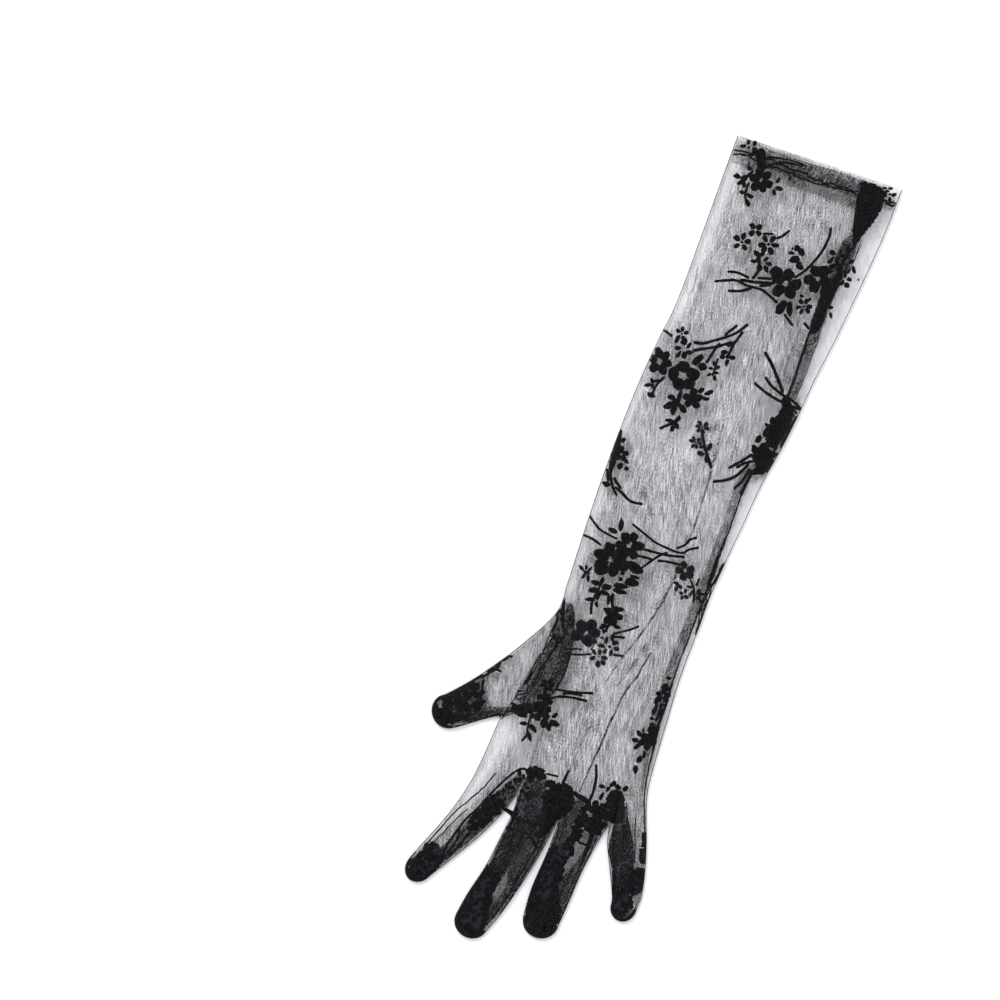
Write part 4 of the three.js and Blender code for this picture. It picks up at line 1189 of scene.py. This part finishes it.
palm.stems([
    (1.1, (-33.2, -114), (-33, -122), (-32, -128), (-33.4, -132)),
    (2.6, (-26, -106), (-28, -109)),
])

# Along the side seam.
palm.leaves([
    (33, -72.2, 0, 2.6, 2), (32.5, -77.4, 60, 4.2, 3), (30.6, -86, 90, 4.4, 2.6), (31.2, -92, 80, 4.6, 2.2),
    (34.6, -92, 95, 5, 2.4), (31.4, -96.6, 0, 2.4, 2), (33, -101.4, 60, 4.4, 3),
])
palm.flower(33.2, -82.6, 4.2, 30)
palm.leaves([
    (34, -88, 60, 3, 2), (31.4, -89, 100, 3, 1.8), (34, -95.6, 80, 3.6, 1.8), (34.4, -78, 120, 3, 1.8),
])
palm.strip([(35.8, -74, 1), (36.2, -90, 1.4), (36, -104, 1.4), (37.6, -112, 1.2), (38.6, -120, 0.6)])
palm.patch([(32.6, -100, 1.4), (34, -105, 2.6), (34.8, -110, 2.6)], 2.6)
palm.flower(33, -109.4, 5, 75)
palm.leaves([
    (27.2, -106.8, 150, 3.6, 2.3), (29, -104.4, 90, 2.8, 1.2), (26.4, -111, 185, 3.8, 2.4),
    (28.6, -114, 235, 4.4, 2.4), (32, -120.6, 260, 4.2, 2.8), (32, -126.4, 280, 4.4, 2.6),
    (33.8, -117.2, 285, 4.6, 1.7),
])

# Across the roots of the fingers.
palm.strip([(-30.4, -149), (-28, -146.6), (-25, -146.8), (-22, -149)], width=1.2)
palm.leaves([
    (-23, -147.4, 160, 5.4, 4.4), (-18.6, -145.6, 60, 5.4, 4.6), (-16.6, -148, 0, 4.4, 3),
    (-22, -150.6, 250, 4, 3.4), (-11.8, -149, 0, 2.6, 2), (-8.4, -149.4, 20, 2.8, 2.2),
])
palm.stems([
    (1.1, (-14, -145), (-8, -144.4)),
    (1.4, (-3.2, -139.6), (-3.6, -143), (-4, -147)),
    (1.4, (10.4, -131.6), (12.6, -138), (13.6, -146), (13.2, -153), (12.4, -159)),
])
palm.leaves([
    (17.4, -141.6, 0, 3, 2.2), (22.6, -138.4, 60, 4, 2.4), (26, -139, -20, 3.6, 2.4),
    (21, -142, 250, 3.4, 2), (18.8, -147, 80, 4.6, 1.8), (23.6, -145, 95, 5, 2.6),
    (30, -138.4, 60, 3.4, 2.4),
])
palm.flower(19, -154.6, 5, 50)
palm.oval(19, -155, 0, 5.6, 5)
palm.patch([(26.4, -142.6, 4), (27.6, -147, 8.4), (29.2, -153, 9.4), (30, -156.4, 8.6)], 3, side=-1)
palm.patch([(24.6, -147, 4), (25.4, -153, 5), (26, -158, 4)], 2.8)
palm.flower(21.6, -163.4, 6, 20)
palm.oval(21, -163.8, 0, 9, 6)
palm_piece = palm.piece(FLOCK)


# The fingers' sprigs
# Black flock, crowded at the tips and the roots of the fingers. TIP_PETAL is the length and width of the
# small petals all round each tip.
TIP_PETAL = (3.6, 2.8)
fingers = Pile("sprigs_fingers", 37)

# Index finger: a band along its inner side, and its tip.
fingers.strip([(-25.4, -147), (-27.6, -146.4), (-30.4, -148.4), (-34, -153.6), (-38, -161), (-41.4, -168.4),
               (-44.6, -176), (-48.4, -183), (-50.8, -189.6), (-53, -197), (-54.6, -204)], width=0.8)
fingers.crowd([(-27.6, -150, 3), (-30.4, -157, 5), (-32.6, -163, 6)], 2.8, dense=0.9)
fingers.crowd([(-34, -165, 7), (-36, -171, 9), (-39, -177, 9), (-42.4, -183, 8), (-44.6, -188, 6)], 3.4,
              dense=0.9)
fingers.crowd([(-35, -168, 6), (-39, -176, 8), (-43, -184, 7)], 4, side=-1, dense=1.3)
fingers.stems([
    (1.0, (-44, -190), (-46.4, -196), (-48.6, -202), (-50.6, -206)),
    (0.7, (-50.4, -190), (-49.6, -195), (-51, -201), (-52.6, -205)),
])
fingers.patch([(-58, -206.4, 8), (-59.4, -210, 11), (-61.4, -215, 12), (-64.2, -220, 10.4), (-67, -223.6, 7)],
              3)
fingers.crowd([(-58, -205, 10), (-62, -214, 12), (-66, -223, 8)], 3.6, side=-1)
fingers.stems([
    (0.9, (-66, -209), (-67.6, -211.6), (-67, -214), (-68.8, -216)),
    (0.7, (-70.8, -217), (-70.8, -221), (-70, -225)),
])

# Middle finger: a crown of small petals over its root, a dark patch that ends in a point, stems and its
# tip.
fingers.patch([(-23.4, -147.4, 3.4), (-20.4, -146, 4.4), (-17, -145.6, 3.6), (-15.6, -148, 2)], 2.6)
fingers.crowd([(-23.6, -150, 4), (-22.4, -155, 5), (-21.6, -160, 5)], 2.8, dense=0.6)
fingers.crowd([(-14, -150, 3), (-8, -149.6, 3), (-3, -149.4, 3), (4, -150.4, 3), (12, -152.4, 3)], 2.4,
              dense=0.8)
fingers.strip([(-1.6, -153, 14), (-2.6, -157, 17), (-4, -162, 14), (-4.6, -168, 8), (-4.8, -174, 5),
               (-5.4, -179, 3)], -1)
fingers.crowd([(-1.6, -150, 14), (-2.6, -156, 17), (-4, -162, 13), (-4.6, -168, 8), (-4.8, -174, 6)], 3.6,
              dense=0.6)
fingers.crowd([(-18, -158, 10), (-16, -168, 16), (-16, -180, 18)], 2.6, side=-1, dense=0.3)
fingers.strip([(4, -150.6, 1.6), (9, -151.4, 2.6), (13.4, -152.6, 2.4)])
fingers.stems([
    (1.4, (-27.4, -173.6), (-22, -174.4), (-14, -173.8), (-5, -172.6)),
    (1.4, (-27.2, -180.4), (-24.6, -181.2), (-22, -180.6)),
    (1.2, (-20.4, -180), (-13, -180.6), (-9, -183), (-5.6, -186.4)),
    (1.0, (-26, -171), (-27, -175), (-26.6, -181)),
])
fingers.patch([(-24, -207, 5), (-25.4, -212, 9), (-27.4, -220, 12), (-28, -228, 14.6), (-28, -235, 16.4),
               (-28.4, -240.6, 14), (-28.8, -243.6, 9)], 3.6)
fingers.crowd([(-24, -204, 8), (-27, -216, 12), (-27.4, -228, 15), (-28.6, -242, 11)], 4.4, side=-1)

# Ring finger: dark nearly all over, with a clear slot near its root.
fingers.crowd([(12.4, -153, 3.4), (12.4, -160, 4), (12.4, -168, 5), (11.8, -176, 6), (10.4, -182, 6)], 3.2,
              dense=1.6)
fingers.strip([(12.2, -156, 1.6), (12.2, -166, 2.4), (11.6, -178, 2.8)])
fingers.patch([(14.4, -163.6, 4.4), (17, -164, 6), (21, -164.2, 6), (24, -163.6, 4.4)], 3)
fingers.strip([(20.6, -167, 2.6), (20.9, -174, 2), (20.6, -180, 1.6), (20.8, -186, 1.2)])
fingers.strip([(15.4, -175.6), (18, -175.4), (20, -176)], width=0.8)
fingers.patch([(7.6, -184, 8.6), (6, -189, 10), (5, -196, 10), (4.6, -202, 10), (5.6, -208, 11)], 3.2)
fingers.patch([(6.6, -206, 12), (8, -212, 15), (9.2, -218, 16), (10, -224, 15), (10.6, -229, 10)], 4, side=-1)
fingers.crowd([(5.4, -210, 13), (8.6, -218, 19), (10, -225, 19), (10.6, -231.4, 12)], 3.2, dense=0.7)
fingers.crowd([(9, -184, 10), (6, -196, 12), (8, -208, 15)], 3.4, side=-1, dense=0.6)

# Little finger: its outer edge and its tip.
fingers.patch([(48.6, -159, 1.4), (50, -162, 2), (50.4, -165.6, 1.4)], 2.2)
fingers.patch([(50.8, -168, 2.4), (52, -170.6, 3.6), (53.4, -174, 3)], 2.8)
fingers.patch([(51.8, -180, 5.6), (53.2, -184, 7.6), (53.4, -188.6, 8), (54.2, -191, 5)], 3.2)
fingers.crowd([(44, -193.6, 4), (48, -193.6, 4), (53, -194, 5)], 2.8, dense=1.1)
fingers.patch([(49.8, -197, 8), (49.4, -200.6, 9.6), (49, -204.6, 7.6), (48.8, -207, 4)], 3)
fingers.crowd([(50, -194, 12), (49.6, -204, 11)], 4, side=-1, dense=1.1)
fingers.crowd([(51, -180, 7), (53, -188, 9)], 4, side=-1, dense=1.0)
fingers.strip([(45, -186), (49, -187.4), (53, -190)], width=0.9)
for name in FINGERS:
    for x, y in round_tip(name, 11):
        fingers.oval(x, y, fingers.random.uniform(0, 360), *TIP_PETAL)
fingers_piece = fingers.piece(FLOCK)

# The thumb's sprigs
# Black flock on the thumb's net: curls of stem on its upper fold, and a dark tip.
thumb_sprigs = Pile("sprigs_thumb", 41)
thumb_sprigs.crowd([(-65, -111, 6), (-69, -114.8, 10), (-73, -119.6, 11), (-78, -124, 9), (-81.4, -126.6, 5)],
                   3.8, dense=1.3)
thumb_sprigs.crowd([(-62.4, -117.6, 4), (-63.4, -122, 5), (-64.6, -126, 3)], 3, dense=1.2)
thumb_sprigs.crowd([(-72, -126, 8), (-78, -131, 9), (-83, -133, 10)], 3.2, dense=0.45)
thumb_sprigs.crowd([(-73.6, -134, 4.6), (-78, -136.6, 5.6), (-82.6, -137, 5)], 3, dense=1.2)
thumb_sprigs.crowd([(-84, -134, 8), (-78, -131, 15), (-72, -126, 14), (-67, -120, 12)], 4, side=-1, dense=0.5)
thumb_sprigs.stems([
    (0.8, (-87.4, -128), (-86.4, -132), (-86.4, -136)),
    (1.0, (-54, -89.4), (-57, -90), (-59, -94), (-59.2, -98), (-62, -101), (-66, -106)),
    (0.9, (-57.4, -99.2), (-60, -99), (-62.6, -99.4), (-63.6, -102)),
    (0.8, (-60, -94.4), (-62.6, -97.4), (-64.4, -101.6)),
    (1.6, (-66, -105), (-71, -109.4), (-75, -113), (-80, -118.4), (-84, -124)),
    (1.0, (-64.6, -107), (-64.4, -110), (-63.4, -113)),
])
thumb_sprigs.leaves([(-68, -112, 230, 6.6, 2.4), (-64, -115.6, 250, 4.4, 3)])
thumb_sprigs.strip([(-40.4, -94, 1), (-41.2, -98, 2), (-42.4, -102, 0.8)])
thumb_sprigs.patch([(-44, -116, 3), (-41, -116.4, 3.6), (-37.6, -115.4, 4), (-35, -114, 4)], 3, side=-1)
thumb_sprigs.strip([(-45.6, -114, 1), (-41, -114.4, 1), (-37, -111.4, 1)])
thumb_sprigs.strip([(-40, -119, 1.2), (-37, -118.4, 2), (-35.6, -118.4, 1.6)])
for x, y in round_tip("thumb", 13):
    thumb_sprigs.oval(x, y, thumb_sprigs.random.uniform(0, 360), *TIP_PETAL)
thumb_sprigs_piece = thumb_sprigs.piece(FLOCK)

# Tucks
# Fine creases where the slack net lies folded over itself, close over the palm layer. Each row is a
# crease's spine by x, y and width, and its weight.
TUCK_OVER = 0.15
tucks = Folds()
for rows, weight in (
        ([(15.6, 72, 0.8), (16.4, 56, 1.6), (18, 40, 1.4), (18.6, 20, 1.0), (18.6, 5, 1.0), (18.4, -10, 1.2),
          (16, -28, 1.2), (13.4, -44, 1.1), (10.4, -52, 1), (9.6, -58, 0.8)], 2.2),
        ([(9.4, -55, 0.8), (7.4, -62, 1.2), (4.3, -70, 1.2), (0.2, -87, 0.9)], 2.6),
        ([(14.6, -58, 0.8), (12.4, -68, 1.4), (10, -78, 1.4), (6.6, -86, 1)], 2.2),
        ([(18.8, -62, 0.9), (17, -70, 1.1), (15.6, -78, 1.2), (13.5, -84, 1.4), (11.8, -90, 1.4),
          (11, -98, 1.3), (9.7, -108, 1.3), (9.2, -118, 1.3), (7.9, -130, 1.2), (7, -140, 1),
          (6.4, -149, 0.9)], 8),
        ([(18.2, -14, 0.9), (17.6, -22, 1.2), (14.8, -37, 1.3), (11, -51, 1.2), (9.6, -56, 0.9)], 6),
        ([(-26.4, 150, 0.6), (-25.2, 140, 0.8), (-26, 131, 0.6)], 2.4),
        ([(9, 60, 1.6), (9.4, 40, 2), (9.6, 20, 1.8), (9, 8, 1.2)], 0.9),
        ([(-0.6, -112, 0.8), (-2, -126, 1.2), (-3, -140, 1)], 1.6),
        ([(-24, -122, 0.8), (-24.8, -134, 1.4), (-24.4, -146, 1)], 1.6),
        ([(38.6, 134, 1.4), (38, 118, 1.8), (39, 104, 1.2)], 1.2),
        ([(-22, 196, 3), (-20.6, 160, 4), (-21.6, 124, 3)], 0.5)):
    tucks.ribbon(rows, 1.0, weight, 0.6, over=TUCK_OVER)
tucks_piece = tucks.piece("tucks", [], None, NET)


# Stitches and seam ridges
# Two rows of loose stitching hold the hem, and a close ridge of thread runs along every seam and down the
# sides of the fingers.
STITCH = 2.2
RIDGE_REACH = 0.12  # how crooked a seam's ridge is
threads = Pile("stitches", 53, spread=0)


def wavering(rows, width, reach=0.35):
    """A thread along a line, a little crooked from stitch to stitch."""
    line = smooth(np.array(rows, float), STITCH)
    line = line + reach * threads.random.standard_normal(line.shape)
    threads.strip([tuple(p) for p in line], width=width)


wavering([(-28.4, 219.8), (-22, 219.6), (-12, 220.6), (-2, 219.8), (6, 219.2), (12, 219.4), (18, 218),
          (28, 218.6), (36, 219), (44, 218.6)], 1.05)
wavering([(-28, 217), (-20, 218.6), (-14, 217), (-8, 216.4), (-2, 217.4), (8, 216.4), (16, 215.8), (22, 216),
          (30, 217), (38, 217.6), (44, 218)], 1.0)
wavering([(60, 220), (63, 218.6), (66.4, 219.4)], 1.6)
wavering([(61, 217.6), (63.6, 220.4), (66.8, 219.6)], 1.0)
wavering([(44.6, 214), (43, 211.4), (41, 209)], 0.5)
SEAM_RIDGES = [
    ([(44.4, 137), (44.6, 120), (44.8, 108), (44.4, 98)], 1.3),
    ([(50.4, 136), (50, 120), (49.6, 106), (49, 98)], 0.5),
    ([(55, 192), (54.8, 184), (54, 176)], 0.6),
    ([(37.6, 45), (38, 30), (37.8, 15), (37.6, 0), (37.4, -14), (36.8, -30), (36.4, -45), (35.8, -60),
      (35.6, -75)], 0.9),
    ([(37.2, 12), (36.4, -2), (37.6, -12), (38.4, -20), (37.2, -30), (38.8, -38), (40, -44)], 0.8),
    ([(40.6, -2), (40, -8), (39.2, -14), (40, -24), (40.2, -34), (40.4, -43)], 0.7),
    ([(37, -100), (37.8, -112), (38.8, -124), (40.8, -136), (43.6, -145), (47.6, -156), (50, -162)], 0.9),
    ([(-38, -49), (-36.6, -50), (-36.2, -58), (-37.6, -68), (-38.4, -80), (-39.6, -92), (-43, -104),
      (-45.6, -114), (-48, -124)], 0.6),
    ([(-33, -50.5), (-29, -56), (-26, -66), (-23.5, -78), (-23, -88), (-24.5, -97), (-27, -104)], 0.8),
    ([(-30, -58), (-31, -70), (-34.4, -82.5), (-36.9, -93.8), (-37, -101.7)], 0.9),
    ([(-35.4, -70), (-38.6, -82), (-41, -92), (-41.6, -100)], 0.8),
    ([(-48, -122.6), (-54, -125.6), (-62, -131), (-70, -136), (-78, -139.4)], 0.8),
    ([(-47.4, -119), (-43, -118.4), (-38, -118)], 0.8),
    ([(-41.4, -154), (-44, -161), (-48, -169), (-53, -177), (-57.6, -186), (-61, -195), (-65, -204)], 0.8),
    ([(-50, -178), (-54.6, -187), (-58.6, -196), (-62, -203)], 0.6),
    ([(-70, -211), (-71.4, -218), (-70.6, -224)], 0.7),
    ([(-66.6, -209), (-69, -215), (-68, -220)], 0.6),
    ([(-24.4, -160), (-24, -172), (-25, -184), (-26.4, -198), (-28, -210)], 0.8),
    ([(-22, -178), (-20.6, -190), (-21.4, -204)], 0.6),
    ([(-16, -180), (-17.6, -192), (-20, -206), (-22, -216)], 0.7),
    ([(-5, -172), (-6.4, -184), (-8.8, -198), (-11.6, -212), (-15, -226), (-18.4, -236)], 0.9),
    ([(-3.4, -176), (-4.6, -188), (-7, -202), (-10, -216), (-13.4, -228)], 0.6),
    ([(-9, -184), (-10, -196), (-12, -208)], 0.6),
    ([(1.2, -168), (2.6, -176), (1.6, -184)], 0.7),
    ([(4.6, -166), (4.6, -178)], 0.7),
    ([(10.6, -150), (10.4, -162), (10, -176)], 0.8),
    ([(24, -170), (23, -182), (21.6, -196), (20.8, -208), (19.6, -220), (16, -229)], 0.9),
    ([(22, -170), (21, -184), (19.6, -198), (18.8, -210)], 0.7),
    ([(17, -190), (15.4, -202), (14.4, -214)], 0.6),
    ([(31, -162), (34.6, -172), (38.6, -184), (42, -194), (43.4, -202)], 0.8),
    ([(36, -158), (39.6, -170), (42.6, -182), (46, -192)], 0.7),
    ([(41, -152), (44.6, -164), (48.6, -176)], 0.6),
    ([(33.6, -146), (37, -156), (40, -166)], 0.6),
    ([(57.6, -194), (57, -202), (54, -207)], 0.6),
]
for rows, width in SEAM_RIDGES:
    wavering(rows, width, RIDGE_REACH)
threads_piece = threads.piece(FLOCK)

# Fold lines
# Where the net turns over at a fold it is seen edge on, as a fine dark line. It is made in lengths that
# each span RUN points of the outline.
FOLD_LINE = 0.2
RUN = 60
fold_lines = Pile("fold_lines", 59, spread=0)
edge = np.column_stack([OUTLINE, np.full(len(OUTLINE), FOLD_LINE)])
for first in range(0, len(edge) - 1, RUN):
    fold_lines.strip([tuple(p) for p in edge[first:first + RUN + 1:2]])
fold_lines_piece = fold_lines.piece(FLOCK)
